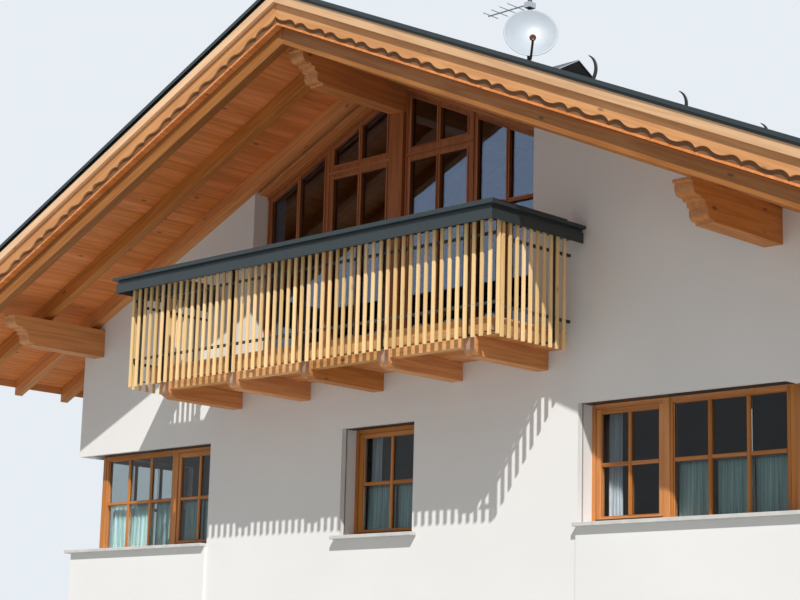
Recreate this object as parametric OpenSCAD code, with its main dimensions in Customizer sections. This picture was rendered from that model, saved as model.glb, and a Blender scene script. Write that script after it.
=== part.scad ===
// Alpine chalet: rendered walls, a wide purlin roof, a glazed gable and a slatted balcony.
// Millimetres. X runs across the gable, Y along the ridge, Z up. The balcony gable faces -Y.
// The origin is on the ground at the centre of the roof's plan.

/* [House] */
// Width of the house over the render
house_w = 11000; // [10000:100:12000]
// Length of the house over the render
house_l = 12000; // [11000:100:13000]
// Thickness of the outer walls
wall_t = 420; // [300:10:500]
// Thickness of the ground slab
slab_t = 150; // [100:10:250]
// Height from one floor to the next
storey_h = 2850; // [2700:10:3000]
// Thickness of the upper floors
floor_t = 250; // [200:10:300]

/* [Windows] */
// Height of the window heads over the floor
head_h = 2200; // [2100:10:2300]
// Height of the wall under the window sills, over the floor
sill_h = 950; // [850:10:1000]
// Half width of the middle window openings
mid_half = 565; // [500:5:700]
// Distance from the middle of the front to the corner windows
corner_in = 2855; // [2600:5:3000]
// Length of the corner windows along the side walls
corner_side = 1600; // [1400:10:2000]
// Depth from the render to the face of the window frames
recess = 225; // [150:5:260]
// Depth of the window frames
frame_d = 80; // [60:5:100]
// Thickness of the sealed glass units
glass_t = 24; // [16:1:32]
// Height of the stone sill slabs
sill_slab = 40; // [30:1:60]
// Distance that the sills stand out from the render
sill_out = 95; // [60:5:120]
// Distance that the render under the corner windows stands out
parapet_out = 30; // [10:1:50]

/* [Roof] */
// Slope of the roof in degrees
pitch = 24; // [22:0.5:26]
// Height of the underside of the rafters at the ridge
rafter_line = 9200; // [9100:10:9400]
// Distance from the gables to the face of the upper verge boards
verge_out = 1790; // [1600:10:1800]
// Distance from the side walls to the ends of the rafters
eaves_out = 1400; // [1200:10:1500]
// Width of a rafter
rafter_w = 120; // [80:5:140]
// Depth of a rafter, square to the slope
rafter_h = 180; // [140:5:200]
// Distance between the middles of two rafters
rafter_gap = 757.5; // [700:2.5:800]
// Width of the purlins
purlin_w = 208; // [160:2:240]
// Depth of the purlins
purlin_h = 358; // [300:2:380]
// Distance from the gables to the upper tips of the purlins
purlin_out = 1445; // [1300:5:1500]
// Length of one scallop of the lower verge boards, along the slope
scallop_l = 521; // [400:1:600]
// Depth of the scallops
scallop_d = 36; // [20:1:50]

/* [Gable glazing] */
// Half width of the glazed opening in the front gable
gable_half = 2230; // [2000:10:2300]
// Half width of the post in the middle of the glazing
post_half = 106; // [80:2:130]

/* [Balcony] */
// Distance from the middle to the outer faces of the side slats
balcony_half = 2892; // [2700:4:3000]
// Distance from the wall to the outer faces of the front slats
balcony_out = 1267; // [1100:1:1300]
// Distance between the middles of two balcony beams
beam_gap = 1191; // [1000:1:1200]
// Width of a balcony beam
beam_w = 160; // [120:5:180]
// Depth of a balcony beam
beam_h = 200; // [160:5:220]
// Width of a slat
slat_w = 40; // [30:1:60]
// Thickness of a slat
slat_t = 20; // [14:1:30]
// Distance between the middles of two slats
slat_gap = 108; // [90:1:120]
// Height of the feet of the front slats over the ground
slat_foot = 5720; // [5650:5:5740]
// Height of the foot of the flower trough's outer face
trough_z = 6820; // [6750:10:6900]

/* [Hidden] */

half_w = house_w / 2;
half_l = house_l / 2;
slope = tan(pitch);

// Levels of the floors, and of the window sills and heads over each of them
ground_z = slab_t;
first_z = ground_z + storey_h;
attic_z = first_z + storey_h;
storeys = [ground_z, first_z];

// Layers of the roof, as heights over the underside of the rafters
rafter_top = rafter_h / cos(pitch);
soffit_t = 26;
soffit_top = rafter_top + soffit_t;
deck_top = 545;
cover_top = 590;
tail_x = half_w + eaves_out;
eaves_board_t = 28;
eaves_x = tail_x + eaves_board_t;
verge_y = half_l + verge_out;

// Depths of the verge boards, behind the face of the upper board
upper_board_t = 45;
lower_board_t = 28;
soffit_y = verge_y - upper_board_t - lower_board_t;

// Planes of the glazing, from the middle of the house
frame_y = half_l - recess;
frame_x = half_w - recess;
corner_post = 119;
bar_w = 46;
bar_h = 40;
bar_z = 635;

wood = "#a8683a";
larch = "#e8b878";
cream = "#ead2b0";
render = "#efece6";
stone_grey = "#cfcac0";
metal = "#4c5a68";
dark_metal = "#24272b";
window_wood = "#8a4a30";
glass_blue = "#9fb6c8";

// A box between two opposite corners
module block(low, high) {
    translate(low)
        cube(high - low);
}

// An outline in X and Z, drawn out along Y from one plane to the other
module across(y_low, y_high) {
    translate([0, y_high, 0])
        rotate([90, 0, 0])
            linear_extrude(y_high - y_low)
                children();
}

// An outline in Y and Z, drawn out along X from one plane to the other
module along(x_low, x_high) {
    translate([x_low, 0, 0])
        rotate([90, 0, 90])
            linear_extrude(x_high - x_low)
                children();
}

// The same thing on the left, mirrored
module on_left() {
    mirror([1, 0, 0])
        children();
}

module both_sides() {
    children();
    on_left()
        children();
}

// The same thing at the back gable, mirrored
module both_gables() {
    children();
    mirror([0, 1, 0])
        children();
}

function roof_z(x, rise) = rafter_line + rise - slope * abs(x);

// One layer of the right roof slope, between two rises over the underside of the rafters
module roof_layer(low, high, x_low, x_high, y_low, y_high) {
    across(y_low, y_high)
        polygon([
            [x_low, roof_z(x_low, low)],
            [x_high, roof_z(x_high, low)],
            [x_high, roof_z(x_high, high)],
            [x_low, roof_z(x_low, high)]
        ]);
}

// Outline of a gable, from the ground slab to the soffit
module gable_outline() {
    polygon([
        [-half_w, slab_t],
        [half_w, slab_t],
        [half_w, roof_z(half_w, rafter_top)],
        [0, roof_z(0, rafter_top)],
        [-half_w, roof_z(half_w, rafter_top)]
    ]);
}

// Pockets for the purlins in a gable wall
module purlin_pockets() {
    square_at(0, rafter_line - purlin_h, rafter_line);
    for (s = [-1, 1])
        square_at(s * eaves_purlin_x, eaves_purlin_z, eaves_purlin_z + purlin_h);
}

module square_at(x, z_low, z_high) {
    translate([x - purlin_w / 2, z_low])
        square([purlin_w, z_high - z_low]);
}

eaves_purlin_in = 303;
eaves_purlin_x = half_w - eaves_purlin_in;
eaves_purlin_z = roof_z(eaves_purlin_x + purlin_w / 2, 0) - purlin_h;

// Floors

module ground_slab() {
    color(stone_grey)
        block([-half_w, -half_l, 0], [half_w, half_l, slab_t]);
}

module upper_floors() {
    color(stone_grey)
        for (top = [first_z, attic_z])
            block(
                [-half_w + wall_t, -half_l + wall_t, top - floor_t],
                [half_w - wall_t, half_l - wall_t, top]
            );
}

// Walls

module opening(x_low, x_high, z_low, z_high) {
    translate([x_low, z_low])
        square([x_high - x_low, z_high - z_low]);
}

// Heights of the two thicker bands of render under the corner windows
parapets = [[slab_t, ground_z + sill_h], [ground_z + head_h, first_z + sill_h]];

// Middles of the plain windows in the back wall, the side walls and the back gable
back_window_x = [-3200, 3200];
side_window_y = [300, 3500];
attic_window_x = [-1300, 1300];
door_half = 560;
door_h = 2150;

module front_wall() {
    color(render) {
        difference() {
            across(-half_l, -half_l + wall_t)
                difference() {
                    gable_outline();
                    purlin_pockets();
                    for (z = storeys) {
                        opening(-mid_half, mid_half, z + sill_h, z + head_h);
                        for (s = [-1, 1])
                            mirror([s < 0 ? 1 : 0, 0])
                                opening(corner_in, half_w + 1, z + sill_h, z + head_h);
                    }
                    gable_opening(0);
                }
            across(-half_l - 1, -frame_y)
                gable_opening(rafter_top + 1);
        }
        for (band = parapets)
            both_sides()
                block(
                    [corner_in, -half_l - parapet_out, band[0]],
                    [half_w + parapet_out, -half_l, band[1]]
                );
    }
}

// The glazed opening, up to a rise over the underside of the rafters: the recess in front of
// the frame reaches the soffit, and the hole in the wall behind it ends at the rafters
module gable_opening(rise) {
    polygon([
        [-gable_half, attic_z],
        [gable_half, attic_z],
        [gable_half, roof_z(gable_half, rise)],
        [0, roof_z(0, rise)],
        [-gable_half, roof_z(gable_half, rise)]
    ]);
}

module back_wall() {
    color(render)
        across(half_l - wall_t, half_l)
            difference() {
                gable_outline();
                purlin_pockets();
                for (x = back_window_x)
                    for (z = storeys)
                        opening(x - mid_half, x + mid_half, z + sill_h, z + head_h);
                for (x = attic_window_x)
                    opening(x - mid_half, x + mid_half, attic_z + sill_h, attic_z + head_h);
                opening(-door_half, door_half, ground_z, ground_z + door_h);
            }
}

module right_wall() {
    inner_x = half_w - wall_t;
    color(render) {
        difference() {
            across(-half_l + wall_t, half_l - wall_t)
                polygon([
                    [inner_x, slab_t],
                    [half_w, slab_t],
                    [half_w, roof_z(half_w, 0)],
                    [eaves_purlin_x + purlin_w / 2, roof_z(eaves_purlin_x + purlin_w / 2, 0)],
                    [eaves_purlin_x + purlin_w / 2, eaves_purlin_z],
                    [inner_x, eaves_purlin_z]
                ]);
            for (z = storeys) {
                block(
                    [inner_x - 1, -half_l + wall_t - 1, z + sill_h],
                    [half_w + 1, -half_l + corner_side, z + head_h]
                );
                for (y = side_window_y)
                    block(
                        [inner_x - 1, y - mid_half, z + sill_h],
                        [half_w + 1, y + mid_half, z + head_h]
                    );
            }
        }
        for (band = parapets)
            block(
                [half_w, -half_l, band[0]],
                [half_w + parapet_out, -half_l + corner_side, band[1]]
            );
    }
}

module left_wall() {
    on_left()
        right_wall();
}

// Stone sills: a slab bent round each front corner, and a short one under every other window
sill_over = 65;

module window_sills() {
    color(stone_grey)
        for (z = storeys) {
            sill_z = z + sill_h;
            both_sides()
                corner_sill(sill_z);
            translate([0, -half_l, sill_z])
                short_sill();
            for (x = back_window_x)
                translate([x, half_l, sill_z])
                    rotate([0, 0, 180])
                        short_sill();
            for (y = side_window_y)
                both_sides()
                    translate([half_w, y, sill_z])
                        rotate([0, 0, 90])
                            short_sill();
        }
    color(stone_grey)
        for (x = attic_window_x)
            translate([x, half_l, attic_z + sill_h])
                rotate([0, 0, 180])
                    short_sill();
}

// A sill whose wall face lies on Y = 0, with the house on the +Y side
module short_sill() {
    block([-mid_half, 0, 0], [mid_half, recess + frame_d, sill_slab]);
    block([-mid_half - sill_over, -sill_out, 0], [mid_half + sill_over, 0, sill_slab]);
}

module corner_sill(z) {
    block([corner_in, -half_l - sill_out, z], [half_w + sill_out, -half_l + recess + frame_d, z + sill_slab]);
    block(
        [half_w - recess - frame_d, -half_l + recess + frame_d, z],
        [half_w + sill_out, -half_l + corner_side, z + sill_slab]
    );
}

// Windows: a frame is a plate with its panes cut out, and the glass fills the same panes

// The glass of a fixed light stands close to the sill and the head, and that of a sash further in
fixed_foot = 65;
fixed_edge = 62;
sash_edge = 120;
sash_head = 100;
window_h = head_h - sill_h;

// Two rows of panes, below and above the bar
function pane_rows(low, high) = [[low, bar_z - bar_h / 2], [bar_z + bar_h / 2, high]];

fixed_rows = pane_rows(fixed_foot, window_h - fixed_edge);
sash_rows = pane_rows(sash_edge, window_h - sash_head);

// Columns of panes between two edges, with bars between them
function pane_columns(low, high, n) =
    let (w = (high - low - (n - 1) * bar_w) / n)
        [for (i = [0:n - 1]) [low + i * (w + bar_w), low + i * (w + bar_w) + w]];

// Panes of a plain window, from its middle
mid_edge = 128;
mid_panes = pane_columns(-mid_half + mid_edge, mid_half - mid_edge, 2);

// Panes of the front part of a corner window, from the middle of the house
sash_glass = 706;
mullion_w = 191;
corner_edge = 117;
sash_x = corner_in + corner_edge;
fixed_x = sash_x + sash_glass + mullion_w;
sash_panes = pane_columns(sash_x, sash_x + sash_glass, 2);
fixed_panes = pane_columns(fixed_x, half_w - recess - corner_post, 3);

// Panes of the side part, as distances from the front wall's face
side_start = recess + corner_post;
side_panes = pane_columns(side_start, corner_side - fixed_edge, 3);

// Boxes in the panes, in a plane whose face lies on Y = 0
module pane_boxes(columns, rows, y_low, y_high) {
    for (c = columns)
        for (r = rows)
            block([c[0], y_low, r[0]], [c[1], y_high, r[1]]);
}

// All panes of the front part of a corner window
module corner_boxes(y_low, y_high) {
    pane_boxes(sash_panes, sash_rows, y_low, y_high);
    pane_boxes(fixed_panes, fixed_rows, y_low, y_high);
}

glass_low = (frame_d - glass_t) / 2;

module mid_frame() {
    color(window_wood)
        difference() {
            block([-mid_half, 0, sill_slab], [mid_half, frame_d, window_h]);
            pane_boxes(mid_panes, sash_rows, -1, frame_d + 1);
        }
}

module mid_glass() {
    color(glass_blue, 0.4)
        pane_boxes(mid_panes, sash_rows, glass_low, glass_low + glass_t);
}

// Placed windows: the front part of a corner window lies on Y = 0 with X from the middle
module at_front(z) {
    translate([0, -frame_y, z + sill_h])
        children();
}

module at_back(x, z) {
    translate([x, frame_y, z + sill_h])
        rotate([0, 0, 180])
            children();
}

module at_right(y, z) {
    translate([frame_x, y, z + sill_h])
        rotate([0, 0, 90])
            children();
}

module corner_side_part() {
    translate([frame_x, -half_l, 0])
        rotate([0, 0, 90])
            children();
}

module corner_frame(z) {
    color(window_wood)
        translate([0, 0, z + sill_h]) {
            translate([0, -frame_y, 0])
                difference() {
                    block([corner_in, 0, sill_slab], [frame_x, frame_d, window_h]);
                    corner_boxes(-1, frame_d + 1);
                }
            block(
                [frame_x - corner_post, -frame_y, sill_slab],
                [frame_x, -frame_y + corner_post, window_h]
            );
            corner_side_part()
                difference() {
                    block([side_start, 0, sill_slab], [corner_side, frame_d, window_h]);
                    pane_boxes(side_panes, fixed_rows, -1, frame_d + 1);
                }
        }
}

module corner_glass() {
    color(glass_blue, 0.4)
        both_sides()
            for (z = storeys)
                translate([0, 0, z + sill_h]) {
                    translate([0, -frame_y, 0])
                        corner_boxes(glass_low, glass_low + glass_t);
                    corner_side_part()
                        pane_boxes(side_panes, fixed_rows, glass_low, glass_low + glass_t);
                }
}

module corner_windows() {
    both_sides()
        for (z = storeys)
            corner_frame(z);
}

// Every plain window of the house, one after the other
module each_casement() {
    for (z = storeys) {
        at_front(z)
            children();
        for (y = side_window_y)
            both_sides()
                at_right(y, z)
                    children();
        for (x = back_window_x)
            at_back(x, z)
                children();
    }
    for (x = attic_window_x)
        at_back(x, attic_z)
            children();
}

module casement_windows() {
    each_casement()
        mid_frame();
}

module window_glass() {
    each_casement()
        mid_glass();
}

// Gable glazing: bays between the post and the reveals, each side alike
bay_edge = 90;
inner_bays = [[post_half + bay_edge, 600], [660, 1070]];
outer_bays = [[1230, 1650], [1700, gable_half - bay_edge]];
transom = [8240, 8410];
low_bar = [7518, 7562];
bay_foot = attic_z + bay_edge;
bay_drop = 110;

// Depth from the render to the face of the post in the middle
post_recess = 170;

function bay_top(x) = roof_z(x, 0) - bay_drop;

// One bay up to the slope of the rafters, divided by a bar between two heights
module gable_bay(bay, bar) {
    difference() {
        polygon([
            [bay[0], bay_foot],
            [bay[1], bay_foot],
            [bay[1], bay_top(bay[1])],
            [bay[0], bay_top(bay[0])]
        ]);
        opening(bay[0] - 1, bay[1] + 1, bar[0], bar[1]);
    }
}

module gable_panes() {
    for (s = [0, 1])
        mirror([s, 0]) {
            for (bay = inner_bays)
                gable_bay(bay, transom);
            for (bay = outer_bays)
                gable_bay(bay, low_bar);
        }
}

module gable_window_frame() {
    color(window_wood)
        across(-frame_y, -frame_y + frame_d)
            difference() {
                gable_opening(0);
                translate([-post_half, attic_z - 1])
                    square([2 * post_half, rafter_line]);
                gable_panes();
            }
}

module gable_glass() {
    color(glass_blue, 0.4)
        across(-frame_y + glass_low, -frame_y + glass_low + glass_t)
            gable_panes();
}

module gable_post() {
    color(window_wood)
        block(
            [-post_half, -half_l + post_recess, attic_z],
            [post_half, -frame_y + frame_d, rafter_line - purlin_h]
        );
}

// The back door: a frame round three sides, with the leaf set a little into it
door_frame_w = 80;
leaf_in = 8;

module entrance_door() {
    leaf_half = door_half - door_frame_w;
    leaf_top = ground_z + door_h - door_frame_w;
    color(window_wood) {
        difference() {
            block([-door_half, frame_y - frame_d, ground_z], [door_half, frame_y, ground_z + door_h]);
            block([-leaf_half, frame_y - frame_d - 1, ground_z], [leaf_half, frame_y + 1, leaf_top]);
        }
        block([-leaf_half, frame_y - frame_d + leaf_in, ground_z], [leaf_half, frame_y - leaf_in, leaf_top]);
    }
}

// Curtains: short ones in the lower panes, and long ones at the edges of two windows
curtain_t = 12;
curtain_gap = 40;
curtain_back = frame_d + curtain_gap;
long_gap = 30;
long_back = curtain_back + long_gap;
curtain_lap = 15;
long_w = 170;
hem_lift = 20;
sash_hem_lift = 40;
half_foot = fixed_foot + hem_lift;
sash_foot = half_foot + sash_hem_lift;

// Short curtains behind some columns of panes
module half_row(columns, foot) {
    for (c = columns)
        block(
            [c[0] - curtain_lap, curtain_back, foot],
            [c[1] + curtain_lap, curtain_back + curtain_t, bar_z]
        );
}

module half_curtains() {
    color("#bfe0d8")
        translate([0, -frame_y, first_z + sill_h]) {
            both_sides()
                half_row(fixed_panes, half_foot);
            on_left()
                half_row(sash_panes, sash_foot);
            half_row(mid_panes, sash_foot);
        }
}

module long_curtains() {
    color("#e6e8e6")
        translate([0, -frame_y, first_z + sill_h])
            for (x = [sash_x - curtain_lap, mid_panes[0][0] - curtain_lap])
                block([x, long_back, half_foot], [x + long_w, long_back + curtain_t, window_h - fixed_edge]);
}

// Purlins: square timbers whose ends are carved in two steps, each with a rounded nose.
// Each face of the carving: depths of its top and its foot under the top of the purlin,
// how far it stands back from the tip, and the radius that rounds its foot.
purlin_faces = [
    [0, 35, 0, 0],
    [35, 149, 30, 70],
    [149, 175, 155, 0],
    [175, 222, 215, 0],
    [222, 335, 250, 60],
    [335, 358, 345, 0]
];
face_scale = purlin_h / 358;

// Side view of a purlin, alike at its two ends
module purlin_outline(z) {
    for (s = [0, 1])
        mirror([s, 0])
            for (f = purlin_faces)
                translate([-half_l - purlin_out + f[2], z + purlin_h - f[1] * face_scale])
                    nosed(half_l + purlin_out - f[2], (f[1] - f[0]) * face_scale, f[3] * face_scale);
}

// A rectangle whose lower left corner is rounded
module nosed(length, height, r) {
    difference() {
        square([length, height]);
        nose_cut(r);
    }
}

// The corner outside a quarter circle
module nose_cut(r) {
    if (r > 0)
        difference() {
            translate([-1, -1])
                square([r + 1, r + 1]);
            translate([r, r])
                circle(r, $fn = 64);
        }
}

module ridge_purlin() {
    color(wood)
        along(-purlin_w / 2, purlin_w / 2)
            purlin_outline(rafter_line - purlin_h);
}

module eaves_purlins() {
    color(wood)
        both_sides()
            along(eaves_purlin_x - purlin_w / 2, eaves_purlin_x + purlin_w / 2)
                purlin_outline(eaves_purlin_z);
}

// Rafters in pairs, ten in front of the middle pair and ten behind it
rafter_n = 10;

// Half the joint at the ridge, where the two slopes meet
ridge_joint = 2;

// One more pair stands in the recess of the gable glazing: gaps to the render and to the frame
recess_gap = 55;
recess_back_gap = 10;

module rafters() {
    color(wood)
        both_sides() {
            for (i = [-rafter_n:rafter_n])
                roof_layer(
                    0, rafter_top, ridge_joint, tail_x,
                    i * rafter_gap - rafter_w / 2, i * rafter_gap + rafter_w / 2
                );
            roof_layer(
                0, rafter_top, ridge_joint, gable_half,
                -half_l + recess_gap, -frame_y - recess_back_gap
            );
        }
}

module soffit() {
    color(wood)
        both_sides()
            roof_layer(rafter_top, soffit_top, ridge_joint, tail_x, -soffit_y, soffit_y);
}

module roof_deck() {
    color(wood)
        both_sides()
            roof_layer(soffit_top, deck_top, ridge_joint, tail_x, -soffit_y, soffit_y);
}

cover_back = 10;
cover_y = verge_y - cover_back;
cover_lip = 40;
cover_x = eaves_x + cover_lip;

module roof_covering() {
    color(metal)
        both_sides()
            roof_layer(deck_top, cover_top, ridge_joint, cover_x, -cover_y, cover_y);
}

cap_w = 190;
cap_t = 6;

module ridge_cap() {
    color(metal)
        both_sides()
            roof_layer(cover_top, cover_top + cap_t, 0, cap_w, -cover_y, cover_y);
}

// Verge boards: a plain upper board, and a scalloped one set back under it
upper_low = 440;
upper_high = deck_top;
lower_low = 262;

module verge_boards() {
    color(cream)
        both_gables()
            both_sides()
                roof_layer(upper_low, upper_high, ridge_joint, eaves_x, -verge_y, -verge_y + upper_board_t);
}

// Scallops run down the slope from the ridge: a soft belly between two hollows that meet in
// sharp tips. The belly's radius is a little more than where the arcs would only touch.
first_tip = 355;
hollow_s = 0.192 * scallop_l;
belly_s = scallop_l / 2 - hollow_s;
hollow_r = (hollow_s * hollow_s + scallop_d * scallop_d) / (2 * scallop_d);
arcs_r = (belly_s * belly_s + scallop_d * scallop_d) / (2 * scallop_d);
belly_r = arcs_r - hollow_r + 0.5;
join_h = scallop_d * belly_r / arcs_r;

// What one scallop takes away from the board's lower edge, from a tip at the origin
module scallop() {
    for (s = [hollow_s, scallop_l - hollow_s])
        translate([s, scallop_d - hollow_r])
            circle(hollow_r, $fn = 128);
    translate([scallop_l / 2, 0])
        difference() {
            translate([-belly_s, -1])
                square([2 * belly_s, join_h + 1]);
            translate([0, belly_r])
                circle(belly_r, $fn = 128);
        }
}

// Tips and bellies end in a tiny flat
tip_flat = 0.6;
board_end = eaves_x / cos(pitch);

// The scalloped board as it lies before it is tilted, with the ridge at the left
module scalloped_outline() {
    difference() {
        translate([-100, tip_flat])
            square([board_end + 200, (upper_high - lower_low) * cos(pitch) - tip_flat]);
        for (i = [-1:ceil(board_end / scallop_l)])
            translate([first_tip + i * scallop_l, 0])
                scallop();
    }
}

module scalloped_boards() {
    y_face = -verge_y + upper_board_t;
    color(larch)
        both_gables()
            both_sides()
                across(y_face, y_face + lower_board_t)
                    intersection() {
                        translate([0, roof_z(0, lower_low)])
                            rotate(-pitch)
                                scalloped_outline();
                        translate([ridge_joint, 0])
                            square([eaves_x - ridge_joint, 2 * rafter_line]);
                    }
}

// Sheet-metal flashing folded over the verge
flashing_out = 28;
flashing_t = 4;
flashing_drop = 45;
flashing_w = 200;
flashing_lift = 22;

module verge_flashing() {
    face = verge_y + flashing_out;
    top = cover_top + flashing_t + flashing_lift;
    color(metal)
        both_gables()
            both_sides() {
                roof_layer(top - flashing_drop, top, ridge_joint, cover_x, -face, -face + flashing_t);
                roof_layer(top - flashing_t, top, ridge_joint, cover_x, -face, -face + flashing_w);
                roof_layer(
                    cover_top, top, ridge_joint, cover_x,
                    -face + flashing_w - flashing_t, -face + flashing_w
                );
            }
}

eaves_board_low = 110;

module eaves_boards() {
    board_bottom = roof_z(tail_x, eaves_board_low);
    color(wood)
        both_sides()
            across(-soffit_y, soffit_y)
                polygon([
                    [tail_x, board_bottom],
                    [eaves_x, board_bottom],
                    [eaves_x, roof_z(eaves_x, deck_top)],
                    [tail_x, roof_z(tail_x, deck_top)]
                ]);
}

gutter_r = 75;
gutter_t = 4;
cap_drop = 20;

module gutters() {
    gutter_x = eaves_x + gutter_r + 2 * gutter_t;
    gutter_z = roof_z(cover_x, deck_top) - cap_drop;
    color(metal)
        both_sides()
            across(-cover_y, cover_y)
                difference() {
                    translate([gutter_x, gutter_z])
                        circle(gutter_r, $fn = 48);
                    translate([gutter_x, gutter_z])
                        circle(gutter_r - gutter_t, $fn = 48);
                    translate([gutter_x - 2 * gutter_r, gutter_z])
                        square([4 * gutter_r, 2 * gutter_r]);
                }
}

// Snow guard: claws that curl uphill, with a round log behind their stems
guard_x = 4230;
log_r = 50;
log_gap = 2;
log_half = half_l - 100;
strap_t = 8;
strap_w = 40;
strap_l = 260;
claw_t = 12;
stem_w = 38;
stem_h = 75;
claw_r = 165;
claw_hollow_r = 160;
claw_reach = 170;
hook_gap = 1420;
first_hook = 300;
hook_y = [for (i = [0:10]) -verge_y + first_hook + i * hook_gap];

// Moves to the face of the right slope, tilted with it: +X points down the slope
module at_guard(y) {
    translate([guard_x, y, roof_z(guard_x, cover_top)])
        rotate([0, pitch, 0])
            children();
}

module snow_guard_logs() {
    color(wood)
        both_sides()
            at_guard(0)
                translate([-stem_w - log_gap - log_r, 0, strap_t + log_gap + log_r])
                    rotate([90, 0, 0])
                        cylinder(r = log_r, h = 2 * log_half, center = true, $fn = 48);
}

module snow_guard_hooks() {
    color(dark_metal)
        both_sides()
            for (y = hook_y)
                at_guard(y)
                    hook();
}

// A flat foot on the roof, and on it a plate: a stem and a claw that narrows to its tip
module hook() {
    across(-strap_w / 2, strap_w / 2)
        translate([-strap_l, 0])
            square([strap_l, strap_t]);
    across(-claw_t / 2, claw_t / 2) {
        translate([-stem_w, 0])
            square([stem_w, stem_h]);
        difference() {
            intersection() {
                translate([-claw_r, stem_h])
                    circle(claw_r, $fn = 96);
                translate([-claw_reach, stem_h])
                    square(claw_reach);
            }
            translate([-stem_w - claw_hollow_r, stem_h])
                circle(claw_hollow_r, $fn = 96);
        }
    }
}

// Chimney just behind the ridge, with a gabled sheet cap whose ridge crosses the house's
chimney_x = -560;
chimney_y = -2480;
chimney_w = 760;
chimney_rise = 760;
chimney_top = roof_z(0, chimney_rise);
flue_r = 110;
flue_depth = 300;
cap_half_y = 620;
cap_half_x = 520;
cap_rise = 340;
cap_gap = 60;
cap_sheet = 16;
cap_leg = 40;
cap_leg_up = 130;

// The closed gables: thin plates set in from the sheet's ends and edges
cap_plate_in = 20;
cap_plate_half = 4;
cap_plate_edge = 10;
cap_plate_lift = 5;

module chimney() {
    color(render)
        difference() {
            across(chimney_y - chimney_w / 2, chimney_y + chimney_w / 2)
                polygon([
                    [chimney_x - chimney_w / 2, roof_z(chimney_x - chimney_w / 2, cover_top)],
                    [chimney_x + chimney_w / 2, roof_z(chimney_x + chimney_w / 2, cover_top)],
                    [chimney_x + chimney_w / 2, chimney_top],
                    [chimney_x - chimney_w / 2, chimney_top]
                ]);
            translate([chimney_x, chimney_y, chimney_top - flue_depth])
                cylinder(r = flue_r, h = flue_depth + 1, $fn = 48);
        }
}

// A folded sheet roof with closed gables, on four legs
module chimney_cap() {
    low = chimney_top + cap_gap;
    color(dark_metal) {
        along(chimney_x - cap_half_x, chimney_x + cap_half_x)
            translate([chimney_y, low])
                difference() {
                    polygon([[-cap_half_y, 0], [cap_half_y, 0], [0, cap_rise]]);
                    polygon([
                        [-cap_half_y + 2 * cap_sheet, -1],
                        [cap_half_y - 2 * cap_sheet, -1],
                        [0, cap_rise - cap_sheet]
                    ]);
                }
        for (s = [-1, 1]) {
            plate_x = chimney_x + s * (cap_half_x - cap_plate_in);
            along(plate_x - cap_plate_half, plate_x + cap_plate_half)
                translate([chimney_y, low])
                    polygon([
                        [-cap_half_y + cap_plate_edge, cap_plate_lift],
                        [cap_half_y - cap_plate_edge, cap_plate_lift],
                        [0, cap_rise - cap_plate_lift]
                    ]);
        }
        for (sx = [-1, 1])
            for (sy = [-1, 1])
                translate([
                    chimney_x + sx * (chimney_w - cap_leg) / 2,
                    chimney_y + sy * (chimney_w - cap_leg) / 2,
                    chimney_top
                ])
                    block([-cap_leg / 2, -cap_leg / 2, 0], [cap_leg / 2, cap_leg / 2, cap_gap + cap_leg_up]);
    }
}

// Satellite dish on a short mast on the right slope, facing the front right
dish_x = 2300;
dish_y = -6160;
dish_lift = 400;
dish_z = roof_z(dish_x, cover_top) + dish_lift;
dish_r = 290;
dish_depth = 60;
dish_t = 4;
dish_turn = 45;
dish_tilt = 14;
bowl_r = (dish_r * dish_r + dish_depth * dish_depth) / (2 * dish_depth);

// Moves to the dish: its bowl opens along +Z of the moved frame
module at_dish() {
    translate([dish_x, dish_y, dish_z])
        rotate([0, 0, dish_turn])
            rotate([90 - dish_tilt, 0, 0])
                children();
}

module satellite_dish() {
    color("#d8dde2")
        at_dish()
            rotate_extrude($fn = 96)
                difference() {
                    intersection() {
                        translate([0, bowl_r])
                            circle(bowl_r, $fn = 256);
                        square([dish_r, dish_depth]);
                    }
                    translate([0, bowl_r])
                        circle(bowl_r - dish_t, $fn = 256);
                }
}

// Arm from the lower rim of the bowl, with the receiver head at its end looking back at it
arm_l = 300;
arm_start = 30;
arm_lift = 9;
arm_w = 24;
head_r = 27;
head_l = 90;
head_back = 60;
head_turn = 45;
head_up = 40;
head_in = 20;
collar_r = 35;
collar_t = 14;

module feed_arm() {
    color(dark_metal)
        at_dish()
            translate([0, -dish_r - arm_w / 2, dish_depth - arm_start])
                rotate([-arm_lift, 0, 0]) {
                    block([-arm_w / 2, -arm_w / 2, 0], [arm_w / 2, arm_w / 2, arm_l]);
                    translate([0, head_up, arm_l - head_in])
                        rotate([head_turn, 0, 0]) {
                            translate([0, 0, -head_back])
                                cylinder(r = head_r, h = head_l, $fn = 48);
                            cylinder(r = collar_r, h = collar_t, $fn = 48);
                        }
                }
}

// The mast stands behind the dish, and its top carries the aerial
mast_r = 24;
mast_back = 110;
mast_x = dish_x - mast_back * sin(dish_turn);
mast_y = dish_y + mast_back * cos(dish_turn);
mast_foot = roof_z(mast_x, cover_top);
mast_over = 440;
mast_top = dish_z + mast_over;
foot_w = 180;
foot_t = 10;
clamp_w = 70;
clamp_h = 120;

module dish_mast() {
    color(dark_metal) {
        translate([mast_x, mast_y, mast_foot]) {
            difference() {
                translate([0, 0, -mast_r])
                    cylinder(r = mast_r, h = mast_top - mast_foot + mast_r, $fn = 32);
                rotate([0, pitch, 0])
                    block([-foot_w, -foot_w, -foot_w], [foot_w, foot_w, 0]);
            }
            rotate([0, pitch, 0])
                block([-foot_w / 2, -foot_w / 2, 0], [foot_w / 2, foot_w / 2, foot_t]);
        }
        at_dish()
            block([-clamp_w / 2, -clamp_h / 2, -mast_back], [clamp_w / 2, clamp_h / 2, -1]);
    }
}

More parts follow.
